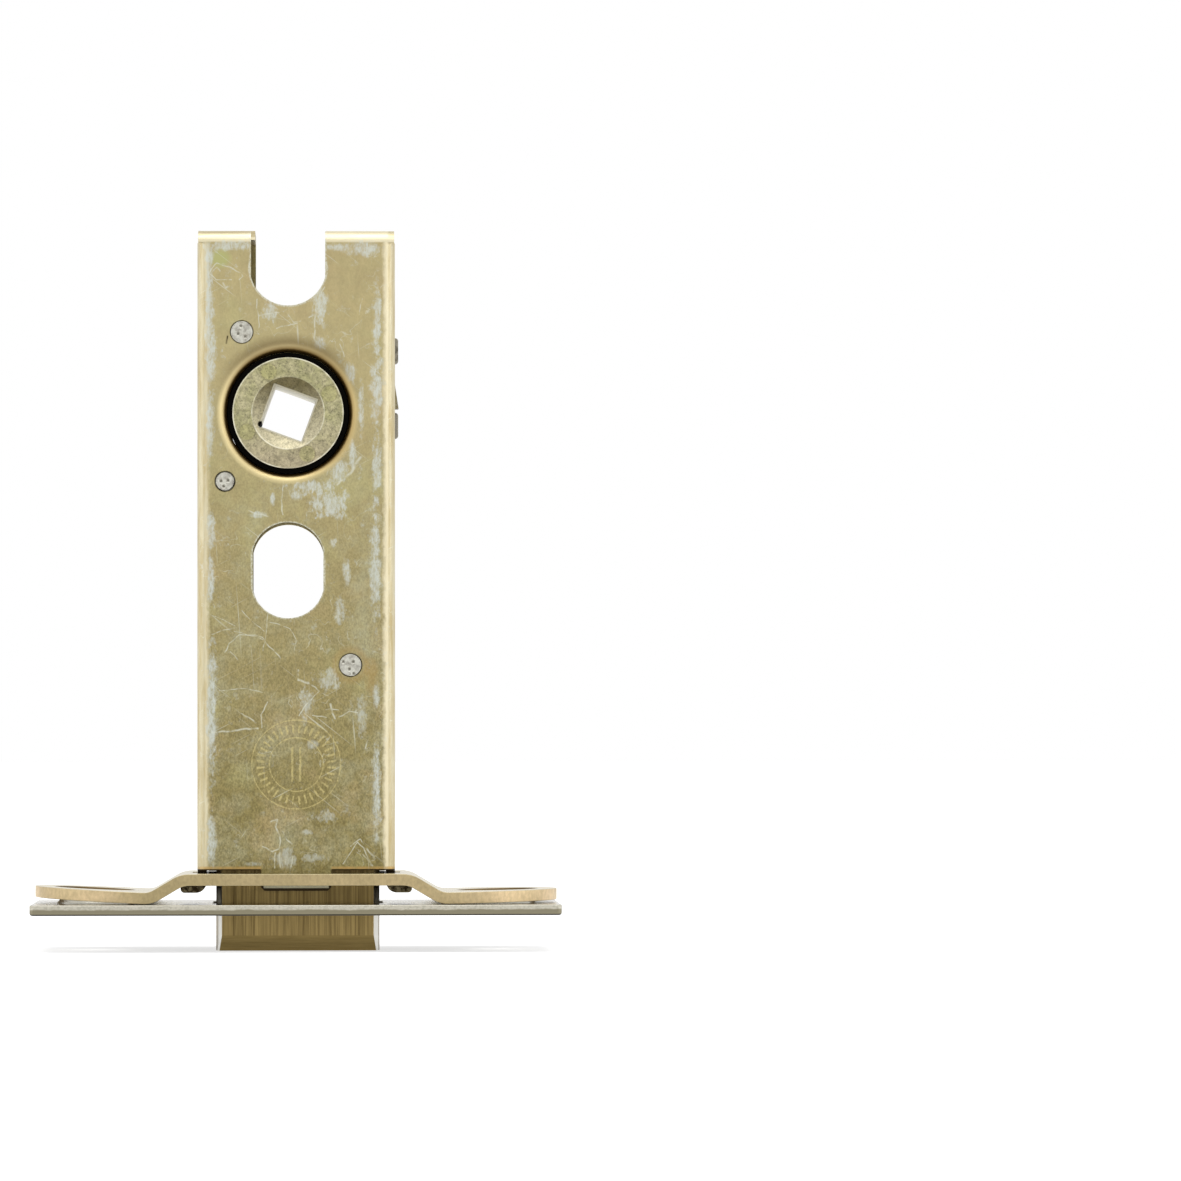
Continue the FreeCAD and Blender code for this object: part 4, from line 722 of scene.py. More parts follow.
def case_scratches(tree, place, front):
    """Mask of the scratches: the strokes that stand out, fine hairs and curls."""
    wobble = node(tree, "TexNoise", {"Vector": place, "Scale": 520.0, "Detail": 2.0}).outputs["Color"]
    wobble = vector_of(tree, "SUBTRACT", wobble, (0.5, 0.5, 0.5))
    shaken = vector_of(tree, "ADD", place, vector_of(tree, "MULTIPLY", wobble, (0.7 * MM, 0.0, 0.7 * MM)))
    strokes = 0.0
    for width, *corners in SCRATCHES.values():
        for start, end in zip(corners, corners[1:]):
            strokes = place_effect(tree, scratch_stroke, {
                "Vector": shaken, "Start": on_face(*start), "End": on_face(*end),
                "Width": SCRATCH_SHARE * width * MM, "So far": strokes,
            })["Mask"]
    breaks = ramp_between(tree, noise(tree, place, 1500.0, 3.0), 0.36, 0.56, 0.1, 0.95)
    strokes = product(tree, held(tree, strokes), product(tree, breaks, front))
    hairs = place_effect(tree, hair_scratches, {"Vector": place, "Amount": 0.74})["Mask"]
    curls = place_effect(tree, scribbles, {"Vector": place, "Scale": 330.0, "Amount": 0.6})["Mask"]
    fine = product(tree, most_of(tree, hairs, curls), 0.75)
    return most_of(tree, strokes, fine)


def case_rim_highlights(tree, parts, front, grain):
    """Mask of the painted highlights along the rims of the slot and the notch, broken by the grain."""
    around_slot = slot_distance(tree, parts, SLOT_MIDDLE, SLOT_STRAIGHT)
    slot_rim = ramp_between(tree, math_of(tree, "SUBTRACT", around_slot, SLOT_RADIUS), 0.2 * MM, 0.06 * MM)
    above_round = math_of(tree, "MINIMUM", math_of(tree, "SUBTRACT", parts["Z"], NOTCH_BOTTOM), 0.0)
    across = math_of(tree, "SUBTRACT", parts["X"], HUB_X)
    around_notch = node(tree, "CombineXYZ", {"X": across, "Z": above_round}).outputs["Vector"]
    around_notch = vector_of(tree, "LENGTH", around_notch)
    notch_radius = ramp_between(
        tree, parts["Z"], NOTCH_BOTTOM + 1.1 * MM, NOTCH_BOTTOM, NOTCH_HALF, NOTCH_RADIUS)
    notch_rim = math_of(tree, "SUBTRACT", around_notch, notch_radius)
    notch_rim = product(tree, ramp_between(tree, notch_rim, 0.24 * MM, 0.08 * MM),
                        ramp_between(tree, parts["Z"], NOTCH_BOTTOM - 5 * MM, NOTCH_BOTTOM - 4.6 * MM))
    rims = product(tree, most_of(tree, slot_rim, notch_rim), front)
    return product(tree, rims, ramp_between(tree, grain, 0.36, 0.58, 0.1, 0.85))


def case_pins(tree, place, shade, base):
    """The dark line round each pin, the burr beside the upper one and the stain round the stop pin."""
    halo = place_effect(tree, ring_about_centre, {
        "Vector": place, "Centre": on_face(*PIN_CENTRES["stop_pin"][:2]), "Radius": 1.75 * MM,
        "Width": 0.6 * MM,
    })["Mask"]
    base = mix_colour(tree, product(tree, held(tree, halo), 0.35), base, ZINC_AMBER)
    lines = 0.0
    for x, z, radius in PIN_CENTRES.values():
        lines = place_effect(tree, ring_about_centre, {
            "Vector": place, "Centre": on_face(x, z), "Radius": (radius + 0.02) * MM,
            "Width": 0.09 * MM, "So far": lines,
        })["Mask"]
    burr_start, burr_end = PIN_BURR
    lines = place_effect(tree, scratch_stroke, {
        "Vector": place, "Start": on_face(*burr_start), "End": on_face(*burr_end), "Width": 0.14 * MM,
        "So far": lines,
    })["Mask"]
    worn_lines = product(tree, held(tree, lines), ramp_between(tree, shade, 0.4, 0.58, 0.9, 0.4))
    return mix_colour(tree, worn_lines, base, GRIME_AND_SHADE)


def case_lip(tree, place, parts, base):
    """The drawn lip: painted shade over its top, a painted highlight round its mouth, dimmer on the right
    and shaded brown above, and painted shade with grease in its bore.
    """
    lip = place_effect(tree, ring_about_centre, {"Vector": place, "Centre": HUB_CENTRE})["Distance"]
    # Painted shade: the face round the lip above the hole is darkened brown, as it faces away from the
    # light.
    on_top = ramp_between(tree, parts["Z"], HUB_Z + 2.0 * MM, HUB_Z + 7 * MM)
    lip_top_shade = product(tree, on_top, ramp_between(tree, lip, LIP_SHADE_END, MOUTH_RADIUS - 0.3 * MM))
    base = mix_colour(tree, product(tree, lip_top_shade, 0.9), base, LIP_SHADE_BROWN)
    # Painted highlight round the mouth: pale gold on the left and below, dimmer tan on the right, and
    # painted shade brown over its upper half.
    upper_half = ramp_between(tree, parts["Z"], HUB_Z + 1.0 * MM, HUB_Z + 6.5 * MM, 0.0, 0.7)
    right_half = ramp_between(tree, parts["X"], HUB_X, HUB_X + 6 * MM)
    mouth_light_and_shade = mix_colour(tree, right_half, LIP_HIGHLIGHT_GOLD, LIP_DIM_HIGHLIGHT_TAN)
    mouth_light_and_shade = mix_colour(tree, upper_half, mouth_light_and_shade, LIP_SHADE_BROWN)
    mouth = ramp_between(tree, lip, MOUTH_RADIUS + 0.2 * MM, MOUTH_RADIUS - 0.35 * MM)
    base = mix_colour(tree, product(tree, mouth, 0.88), base, mouth_light_and_shade)
    # Painted shade: darker brown down towards the bore, and the bore painted black as shade with its
    # grease.
    throat = ramp_between(tree, lip, BORE_RADIUS + 0.72 * MM, BORE_RADIUS + 0.16 * MM)
    base = mix_colour(tree, throat, base, LIP_THROAT_SHADE)
    bore = ramp_between(tree, lip, BORE_RADIUS + 0.06 * MM, BORE_RADIUS - 0.12 * MM)
    return mix_colour(tree, bore, base, GREASE_AND_SHADE_BLACK), bore


def case_foot(tree, parts, side, shade, base):
    """A painted golden highlight along the sheared edge on both sides of the tenon, and painted shade in
    the gap under it.
    """
    foot = math_of(tree, "SUBTRACT", parts["Z"], CASE_FOOT)
    beside_tenon = ramp_between(tree, side, TENON_HALF - 0.1 * MM, TENON_HALF + 0.1 * MM)
    # Painted highlight: the rounded foot edge is painted gold beside the tenon.
    gold = product(tree, ramp_between(tree, foot, 0.5 * MM, 0.3 * MM), beside_tenon)
    gold = product(tree, gold, ramp_between(tree, shade, 0.36, 0.56, 0.35, 0.85))
    base = mix_colour(tree, gold, base, FOOT_HIGHLIGHT_GOLD)
    # Painted shade in the gap under the foot.
    under_foot_shade = product(tree, ramp_between(tree, foot, 0.16 * MM, 0.1 * MM), beside_tenon)
    return mix_colour(tree, under_foot_shade, base, GRIME_AND_SHADE)


def case_tabs(tree, place, parts, side, grain, base):
    """The two clenched tabs, with painted shade in the gap below them, the tenon between them and the
    lanced barb, bare where they were cut.
    """
    below = ramp_between(tree, parts["Z"], TAB_LOW + 0.05 * MM, TAB_LOW)
    worn_edge = ramp_between(tree, noise(tree, place, 1700.0, 4.0, 0.7), 0.42, 0.6)
    tab_colour = mix_colour(tree, worn_edge, GRIME_AND_SHADE, TAB_GREY)
    # Painted shade: the tabs turn dark in the gap below them.
    gap_shade = ramp_between(tree, parts["Z"], TAB_LOW - 0.5 * MM, TAB_LOW - 0.2 * MM)
    tab_colour = mix_colour(tree, gap_shade, tab_colour, GRIME_AND_SHADE)
    on_tab = ramp_between(tree, side, TAB_INNER - 0.05 * MM, TAB_INNER + 0.05 * MM)
    base = mix_colour(tree, product(tree, below, on_tab), base, tab_colour)
    tenon_colour = mix_colour(tree, ramp_between(tree, grain, 0.36, 0.6), ZINC_GREY, TENON_GREY)
    edge = most_of(tree,
                   ramp_between(tree, parts["Z"], TENON_FOOT + 0.36 * MM, TENON_FOOT + 0.26 * MM),
                   ramp_between(tree, side, TENON_HALF - 0.36 * MM, TENON_HALF - 0.26 * MM))
    tenon_colour = mix_colour(tree, edge, tenon_colour, GRIME_AND_SHADE)
    on_tenon = ramp_between(tree, side, TAB_INNER - 0.05 * MM, TAB_INNER - 0.15 * MM)
    base = mix_colour(tree, product(tree, below, on_tenon), base, tenon_colour)
    lanced = product(tree, ramp_between(tree, parts["X"], HALF_CASE + 0.05 * MM, HALF_CASE + 0.11 * MM),
                     ramp_between(tree, parts["Z"], BARB_FOOT, BARB_FOOT + 1.0 * MM))
    return mix_colour(tree, lanced, base, mix_colour(tree, worn_edge, TAB_GREY, TENON_GREY))


def make_zinc_case():
    """Yellow passivated zinc: rubbed pale on the bends, scratched and stamped on the front, with painted
    shade and highlights round the lip, along the rims of the slot and the notch, across the bends and at
    the foot.
    """
    material, tree, shader, place = new_finish("zinc_yellow_case", 0.9)
    parts = parts_of(tree, place)
    side = absolute(tree, parts["X"])
    front = ramp_between(tree, parts["Y"], FRONT + 0.9 * MM, FRONT + 0.3 * MM)
    height = ramp_between(tree, parts["Z"], TONE_FOOT, TONE_HEAD)
    grain = noise(tree, stretched(tree, place, scale=(5600, 3600, 3800), turn=(0, 0.5, 0)), 1.0, 2.0, 0.6)
    shade = noise(tree, stretched(tree, place, scale=(620, 500, 380)), 1.0, 4.0, 0.65)
    blotch = noise(tree, stretched(tree, place, scale=(1500, 900, 1000)), 1.0, 5.0, 0.72)
    blotch = math_of(tree, "SUBTRACT", blotch, 0.5)

    base = case_ground(tree, place, parts, height, grain, shade)
    base = case_stains(tree, place, blotch, base)
    base = case_bends(tree, place, parts, blotch, base)
    rubbed = case_patches(tree, place, parts, height, blotch)
    base = mix_colour(tree, rubbed, base, ZINC_PALE)
    scratched = case_scratches(tree, place, front)
    base = mix_colour(tree, product(tree, scratched, 0.7), base, SCRATCH_AND_HIGHLIGHT_PALE)
    # Painted highlight along the rims of the slot and the notch.
    base = mix_colour(tree, case_rim_highlights(tree, parts, front, grain), base, SCRATCH_AND_HIGHLIGHT_PALE)
    stamp = product(tree, stamped_rings(tree, place), front)
    worn_stamp = product(tree, stamp, ramp_between(tree, grain, 0.36, 0.6, 0.25, 0.75))
    base = mix_colour(tree, worn_stamp, base, STAMP_GOLD)
    base = case_pins(tree, place, shade, base)
    base, bore = case_lip(tree, place, parts, base)
    base = case_foot(tree, parts, side, shade, base)
    base = case_tabs(tree, place, parts, side, grain, base)

    smudge = noise(tree, place, 240.0, 3.0, 0.6)
    rough = ramp_between(tree, smudge, 0.3, 0.7, 0.34, 0.46)
    rough = mix_value(tree, rubbed, rough, 0.52)
    rough = mix_value(tree, bore, rough, 0.9)
    relief = math_of(tree, "MULTIPLY_ADD", stamp, -4.5, grain)
    link_finish(tree, shader, base, rough, relief, 0.012 * MM, 0.7)
    return material


def make_zinc_cover():
    """The same plating on the flat cover, with fine scratches, grease and painted shade round the follower,
    and painted shade inside near its foot.
    """
    material, tree, shader, place = new_finish("zinc_yellow_cover", 0.9)
    cloud = noise(tree, place, 130.0, 3.0, 0.55)
    base = mix_colour(tree, ramp_between(tree, cloud, 0.35, 0.65), ZINC_LOWER, ZINC_UPPER)
    grain = noise(tree, stretched(tree, place, scale=(3600, 2400, 1900)), 1.0, 3.0, 0.72)
    level = ramp_between(tree, grain, 0.34, 0.66, 0.82, 1.18)
    base = shaded(tree, base, level)
    flecks = ramp_between(tree, noise(tree, place, 560.0, 5.0, 0.7), 0.62, 0.72, 0.0, 0.6)
    base = mix_colour(tree, flecks, base, ZINC_PALE)
    hairs = place_effect(tree, hair_scratches, {"Vector": place, "Amount": 0.6})["Mask"]
    base = mix_colour(tree, product(tree, hairs, 0.4), base, SCRATCH_AND_HIGHLIGHT_PALE)
    around = place_effect(tree, ring_about_centre, {"Vector": place, "Centre": HUB_CENTRE})["Distance"]
    # Grease with painted shade in the cover's bore round the follower.
    bore = ramp_between(tree, around, BORE_RADIUS + 0.5 * MM, BORE_RADIUS + 0.1 * MM)
    base = mix_colour(tree, bore, base, GREASE_AND_SHADE_BLACK)
    parts = parts_of(tree, place)
    # Painted shade on the inside of the cover near its foot.
    inside = product(tree, ramp_between(tree, parts["Y"], REAR - 0.4 * MM, REAR - 0.7 * MM),
                     ramp_between(tree, parts["Z"], CASE_FOOT + 1.0 * MM, CASE_FOOT + 0.3 * MM))
    base = mix_colour(tree, inside, base, GRIME_AND_SHADE)
    rough = ramp_between(tree, cloud, 0.3, 0.7, 0.34, 0.46)
    link_finish(tree, shader, base, rough, grain, 0.01 * MM, 0.6)
    return material


def make_zinc_strip():
    """The joggled strip: tan sheared edges, flat faces painted paler as a highlight, brown in its two large
    holes, and painted shade where it runs under the case.
    """
    material, tree, shader, place = new_finish("zinc_yellow_strip", 0.9)
    parts = parts_of(tree, place)
    cloud = noise(tree, place, 110.0, 3.0, 0.55)
    base = mix_colour(tree, ramp_between(tree, cloud, 0.36, 0.6), STRIP_OLIVE, STRIP_TAN)
    wing = ramp_between(tree, absolute(tree, parts["X"]), 17 * MM, 24 * MM, 0.15, 0.8)
    blush = noise(tree, stretched(tree, place, shift=(0.4, 0.2, 0.1)), 160.0, 2.0)
    blush = product(tree, ramp_between(tree, blush, 0.4, 0.6, 0.5, 1.0), wing)
    base = mix_colour(tree, blush, base, STRIP_ROSE)
    grain = noise(tree, stretched(tree, place, scale=(2600, 2600, 1700)), 1.0, 3.0, 0.7)
    level = ramp_between(tree, grain, 0.34, 0.66, 0.88, 1.12)
    base = shaded(tree, base, level)
    # Painted highlight: faces that lie flat are painted paler, as they catch the light from above.
    flat = ramp_between(tree, absolute(tree, facing(tree)["Z"]), 0.35, 0.8)
    base = mix_colour(tree, product(tree, flat, 0.85), base, STRIP_FLAT_HIGHLIGHT)
    from_screw = math_of(tree, "SUBTRACT", absolute(tree, parts["X"]), SCREW_REACH)
    around = node(tree, "CombineXYZ", {"X": from_screw, "Y": parts["Y"]}).outputs["Vector"]
    from_axis = vector_of(tree, "LENGTH", around)
    hole = ramp_between(tree, from_axis, WING_HOLE_RADIUS + 0.12 * MM, WING_HOLE_RADIUS + 0.06 * MM)
    base = mix_colour(tree, product(tree, hole, 0.9), base, STRIP_BROWN)
    # Painted shade on the strip's top where it runs under the case.
    across = ramp_between(tree, absolute(tree, parts["X"]), HALF_CASE + 0.15 * MM, HALF_CASE - 0.05 * MM)
    deep = ramp_between(tree, absolute(tree, parts["Y"]), REAR + 0.15 * MM, REAR)
    under_case_shade = product(tree, across, deep)
    under_case_shade = product(tree, under_case_shade, ramp_between(tree, parts["Z"], TAB_LOW, TAB_LOW + 0.1 * MM))
    base = mix_colour(tree, under_case_shade, base, GRIME_AND_SHADE)
    link_finish(tree, shader, base, mix_value(tree, flat, 0.44, 0.24), grain, 0.012 * MM, 0.6)
    return material


def make_bronze_plate():
    """The outer plate: brushed dark bronze on its face, bare sheared steel on its edges."""
    material, tree, shader, place = new_finish("bronze_face_sheared_edge", 0.85)
    parts = parts_of(tree, place)
    wander = noise(tree, stretched(tree, place, scale=(520, 520, 90)), 1.0, 4.0, 0.7)
    uneven = math_of(tree, "MULTIPLY_ADD", math_of(tree, "SUBTRACT", wander, 0.5), 0.4 * MM, parts["Z"])
    torn = ramp_between(tree, uneven, 0.6 * MM, 0.76 * MM)
    pits = noise(tree, stretched(tree, place, scale=(1, 1, 1.3)), 4200.0, 3.0, 0.7)
    bright = mix_colour(tree, ramp_between(tree, pits, 0.36, 0.58), PLATE_GRAIN, PLATE_ROUGH)
    edge = mix_colour(tree, torn, PLATE_SMOOTH, bright)
    brushed = place_effect(tree, brushed_lines, {"Vector": place, "Across": (60, 5200, 900)})
    line_tone = ramp_between(tree, brushed["Lines"], 0.35, 0.75, 0.0, 0.22)
    dark = mix_colour(tree, line_tone, PLATE_DARK, PLATE_SMOOTH)
    rim = ramp_between(tree, parts["Z"], 0.2 * MM, 0.12 * MM)
    base = mix_colour(tree, rim, edge, dark)
    inner = ramp_between(tree, parts["Z"], PLATE_TOP - 0.1 * MM, PLATE_TOP - 0.02 * MM)
    base = mix_colour(tree, inner, base, PLATE_ROUGH)
    rough = mix_value(tree, torn, 0.38, 0.55)
    rough = mix_value(tree, rim, rough, 0.34)
    rough = mix_value(tree, inner, rough, 0.14)
    relief = mix_value(tree, rim, product(tree, product(tree, pits, torn), 4.0), brushed["Lines"])
    link_finish(tree, shader, base, rough, relief, 0.012 * MM, 0.8)
    return material


def make_bolt_brass():
    """Brass bar, ground lengthwise on its faces, with a plainer nose painted darker as shade, a painted
    highlight on the long bevels, and painted shadow where it runs between the strip and the plate.
    """
    material, tree, shader, place = new_finish("ground_brass", 0.95)
    parts = parts_of(tree, place)
    brushed = place_effect(tree, brushed_lines, {"Vector": place, "Across": (3000, 3000, 55)})
    nose_top = BOLT_NOSE + BOLT_NOSE_BEVEL
    nose = ramp_between(tree, parts["Z"], nose_top + 0.05 * MM, nose_top - 0.05 * MM)
    streak = ramp_between(tree, brushed["Lines"], 0.34, 0.66)
    base = mix_colour(tree, streak, BRASS_DARK, BRASS_BROWN)
    base = mix_colour(tree, ramp_between(tree, brushed["Bands"], 0.4, 0.6, 0.0, 0.45), base, BRASS_BROWN)
    ground = place_effect(tree, brushed_lines, {"Vector": place, "Across": (240, 2600, 5200)})["Lines"]
    # The nose bevel, ground across, is painted darker as shade, as it faces down.
    bevel = mix_colour(tree, ramp_between(tree, ground, 0.3, 0.7, 0.0, 0.35), BRASS_NOSE_SHADE, BRASS_BROWN)
    base = mix_colour(tree, nose, base, bevel)
    # Painted highlight: the long side bevels are painted near-white where they stand out of the case, as if
    # reflecting the bright surroundings.
    face = facing(tree)
    side = product(tree, ramp_between(tree, absolute(tree, face["X"]), 0.4, 0.6),
                   ramp_between(tree, absolute(tree, face["Y"]), 0.1, 0.25))
    bare = product(tree, side, ramp_between(tree, parts["Z"], 3.6 * MM, 2.6 * MM, 0.0, 0.9))
    base = mix_colour(tree, bare, base, BEVEL_HIGHLIGHT_PALE)
    # Painted shadow: the face darkens upwards where it runs between the strip and the plate.
    inside = ramp_between(tree, parts["Z"], 1.4 * MM, 2.6 * MM, 1.0, 0.82)
    base = shaded(tree, base, inside)
    relief = mix_value(tree, nose, brushed["Lines"], ground)
    link_finish(tree, shader, base, mix_value(tree, nose, 0.42, 0.38), relief, 0.012 * MM, 0.7)
    return material


def make_cast_follower():
    """Die-cast zinc alloy: a grainy skin, mould marks on its face, painted shade and highlight in its
    recess, painted highlights with wear on its rims, a painted reflection in its square hole, and grease
    and painted shade in its step.
    """
    material, tree, shader, place = new_finish("cast_follower", 0.85)
    parts = parts_of(tree, place)
    about = place_effect(tree, ring_about_centre, {
        "Vector": place, "Centre": HUB_CENTRE, "Radius": HUB_FACE_RADIUS - 0.06 * MM,
        "Width": 0.11 * MM,
    })
    from_axis = about["Distance"]
    up = math_of(tree, "SUBTRACT", parts["Z"], HUB_Z)
    cloud = noise(tree, place, 700.0, 4.0, 0.65)
    base = mix_colour(tree, ramp_between(tree, cloud, 0.38, 0.62), CAST_OLIVE, CAST_GREY)
    base = mix_colour(tree, ramp_between(tree, up, -1 * MM, -5.5 * MM, 0.0, 0.7), base, CAST_ROSE)
    skin = noise(tree, place, 2100.0, 4.0, 0.8)
    mark = 0.0
    disc = 0.0
    for angle in MOULD_MARK_ANGLES:
        across = HUB_X + MOULD_MARK_REACH * math.cos(math.radians(angle))
        height = HUB_Z + MOULD_MARK_REACH * math.sin(math.radians(angle))
        ring = place_effect(tree, ring_about_centre, {
            "Vector": place, "Centre": (across, FRONT, height), "Radius": MOULD_MARK_RADIUS,
            "Width": 0.12 * MM, "So far": mark,
        })
        mark = ring["Mask"]
        inside = ramp_between(tree, ring["Distance"], MOULD_MARK_RADIUS, MOULD_MARK_RADIUS - 0.1 * MM)
        disc = most_of(tree, disc, inside)
    mark = product(tree, held(tree, mark), ramp_between(tree, cloud, 0.4, 0.6, 0.35, 1.0))
    base = mix_colour(tree, product(tree, disc, 0.55), base, MARK_OLIVE)
    # The mould marks' rings take the dark olive of the recess's painted shade.
    base = mix_colour(tree, product(tree, mark, 0.5), base, CONE_SHADE_DARK)

    # Painted light in the recess: dark as shade on its upper side, pale as a highlight on its lower side.
    cone = ramp_between(tree, from_axis, RECESS_RADIUS + 0.02 * MM, RECESS_RADIUS - 0.05 * MM)
    cone_light_and_shade = mix_colour(tree, ramp_between(tree, up, 3.2 * MM, -3.0 * MM), CONE_SHADE_DARK, CONE_HIGHLIGHT_PALE)
    base = mix_colour(tree, product(tree, cone, 0.85), base, cone_light_and_shade)
    pits = ramp_between(tree, noise(tree, place, 4600.0, 2.0, 0.7), 0.34, 0.46, 0.62, 1.0)
    level = product(tree, pits, ramp_between(tree, skin, 0.36, 0.64, 0.68, 1.3))
    base = shaded(tree, base, level)
    # Painted highlight with wear on the recess's rim, stronger on its lower side.
    scribed_rim_highlight = place_effect(tree, ring_about_centre, {
        "Vector": place, "Centre": HUB_CENTRE, "Radius": RECESS_RADIUS, "Width": 0.11 * MM,
    })["Mask"]
    scribed_rim_highlight = product(tree, most_of(tree, scribed_rim_highlight, 0.0),
                      ramp_between(tree, up, 3.2 * MM, 0.5 * MM, 0.1, 0.85))
    rubs = ramp_between(tree, noise(tree, place, 620.0, 3.0, 0.6), 0.4, 0.6, 0.25, 1.0)
    scribed_rim_highlight = product(tree, scribed_rim_highlight, rubs)
    # Painted highlight with wear on the hub's outer rim, on its front only.
    worn = product(tree, most_of(tree, about["Mask"], 0.0), rubs)
    depth = absolute(tree, parts["Y"])
    worn = product(tree, worn, ramp_between(tree, depth, REAR - 0.3 * MM, REAR - 0.1 * MM))
    base = mix_colour(tree, held(tree, most_of(tree, scribed_rim_highlight, worn)), base, RIM_WEAR_AND_HIGHLIGHT)
    # Painted reflection: the walls of the square hole are painted pale, as they would show the white
    # background at a grazing angle.
    in_hole = product(tree, ramp_between(tree, depth, REAR - 0.86 * MM, REAR - 0.98 * MM),
                      ramp_between(tree, from_axis, SQUARE_CORNER, SQUARE_CORNER - 0.1 * MM))
    base = mix_colour(tree, product(tree, in_hole, 0.9), base, HOLE_REFLECTION_PALE)
    off_line = absolute(tree, math_of(tree, "SUBTRACT", depth, MOUTH_LINE))
    mouth_line = ramp_between(tree, off_line, 0.1 * MM, 0.04 * MM, 0.0, 0.8)
    mouth_line = product(tree, mouth_line, ramp_between(tree, skin, 0.4, 0.56, 1.0, 0.3))
    base = mix_colour(tree, product(tree, in_hole, mouth_line), base, GRIME_AND_SHADE)
    # Grease with painted shade in the hub's step, in its sunk face and at one corner.
    corner = place_effect(tree, ring_about_centre, {"Vector": place, "Centre": CORNER_GRIME})["Distance"]
    corner = ramp_between(tree, corner, 0.42 * MM, 0.28 * MM)
    step = ramp_between(tree, from_axis, HUB_FACE_RADIUS - 0.02 * MM, HUB_FACE_RADIUS + 0.12 * MM)
    sunk = ramp_between(tree, depth, REAR - 0.2 * MM, REAR - 0.5 * MM)
    outside = ramp_between(tree, from_axis, SQUARE_CORNER + 0.4 * MM, SQUARE_CORNER + 0.6 * MM)
    grease = most_of(tree, product(tree, sunk, outside), step, corner)
    base = mix_colour(tree, grease, base, GREASE_AND_SHADE_BLACK)
    rough = mix_value(tree, grease, ramp_between(tree, skin, 0.3, 0.7, 0.42, 0.56), 0.9)
    relief = math_of(tree, "MULTIPLY_ADD", mark, -1.2, skin)
    link_finish(tree, shader, base, rough, relief, 0.022 * MM, 0.8)
    return material


def make_staked_steel():
    """Bright pin ends, darker in the dents where they were staked over."""
    material, tree, shader, place = new_finish("staked_steel", 0.9)
    cloud = noise(tree, place, 1500.0, 4.0, 0.7)
    base = mix_colour(tree, ramp_between(tree, cloud, 0.36, 0.6), STEEL_GREY, PIN_SILVER)
    dents = 0.0
    for name, (x, z, radius) in PIN_CENTRES.items():
        for dent_x, dent_z in DENTS[name]:
            near = place_effect(tree, ring_about_centre, {
                "Vector": place, "Centre": on_face(x + dent_x, z + dent_z), "Radius": 0.0,
                "Width": 1.25 * DENT_RADIUS, "So far": dents,
            })
            dents = near["Mask"]
    dents = ramp_between(tree, math_of(tree, "MULTIPLY_ADD", cloud, 1.4, dents), 0.95, 1.6)
    # The dents are painted darker.
    base = mix_colour(tree, product(tree, dents, 0.8), base, PIN_DARK)
    rough = ramp_between(tree, cloud, 0.3, 0.7, 0.36, 0.5)
    link_finish(tree, shader, base, rough, cloud, 0.02 * MM, 0.6)
    return material


def make_inner_steel(name, light, dark):
    """Rolled steel of the hidden parts, oiled, and dark round the follower with grease and painted shade.
    """
    material, tree, shader, place = new_finish(name, 0.95)
    rolled = place_effect(tree, brushed_lines, {"Vector": place, "Across": (2600, 2600, 160)})
    base = mix_colour(tree, ramp_between(tree, rolled["Bands"], 0.3, 0.7), dark, light)
    stain = noise(tree, place, 900.0, 5.0, 0.7)
    base = mix_colour(tree, ramp_between(tree, stain, 0.5, 0.64, 0.0, 0.75), base, GRIME_AND_SHADE)
    around = place_effect(tree, ring_about_centre, {"Vector": place, "Centre": HUB_CENTRE})["Distance"]
    # Grease with painted shade round the follower, where it shows through the gap.
    greased_and_shaded = ramp_between(tree, around, BORE_RADIUS + 1.0 * MM, BORE_RADIUS + 0.5 * MM)
    base = mix_colour(tree, greased_and_shaded, base, GREASE_AND_SHADE_BLACK)
    rough = mix_value(tree, greased_and_shaded, ramp_between(tree, stain, 0.3, 0.7, 0.24, 0.4), 0.9)
    link_finish(tree, shader, base, rough, rolled["Lines"], 0.008 * MM, 0.6)
    return material


FINISHES = {
    "zinc_case": make_zinc_case(),
    "zinc_cover": make_zinc_cover(),
    "zinc_forend": make_zinc_strip(),
    "bronze_forend": make_bronze_plate(),
    "brass_bolt": make_bolt_brass(),
    "cast_hub": make_cast_follower(),
    "staked_pins": make_staked_steel(),
    "inner_steel": make_inner_steel("rolled_steel", STEEL_GREY, PIN_DARK),
    "spring_steel": make_inner_steel("blued_spring", SPRING_BLUE, GRIME_AND_SHADE),
}

for subpart in frame["record"]["subparts"]:
    frame["nodes"][subpart["node"]].material_slots[0].material = FINISHES[subpart["material_slot"]]


# Pieces that stand for CAD nodes

MERGE_DISTANCE = 0.001 * MM
FLAT_ANGLE = math.radians(0.5)
SHARP_ANGLE = math.radians(32)


def add_piece(name, shape, slot, node_name):
    """A mesh object from a bmesh, in the finish of its slot, on the body of the node it stands for."""
    mesh = bpy.data.meshes.new(name)
    shape.to_mesh(mesh)
    shape.free()
    mesh.materials.append(FINISHES[slot])
    piece = bpy.data.objects.new(name, mesh)
    scene.collection.objects.link(piece)
    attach(piece, frame["nodes"][node_name]["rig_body"])
    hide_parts(node_name)
    return piece


def merged_copy(node_name):
    """The node's shape as one skin, with its flat faces whole."""
    shape = bmesh.new()
    shape.from_mesh(frame["nodes"][node_name].data)
    bmesh.ops.remove_doubles(shape, verts=shape.verts, dist=MERGE_DISTANCE)
    bmesh.ops.dissolve_limit(shape, angle_limit=FLAT_ANGLE, verts=shape.verts, edges=shape.edges)
    for layer in list(shape.loops.layers.float_vector.values()):
        shape.loops.layers.float_vector.remove(layer)
    for face in shape.faces:
        face.smooth = True
    return shape


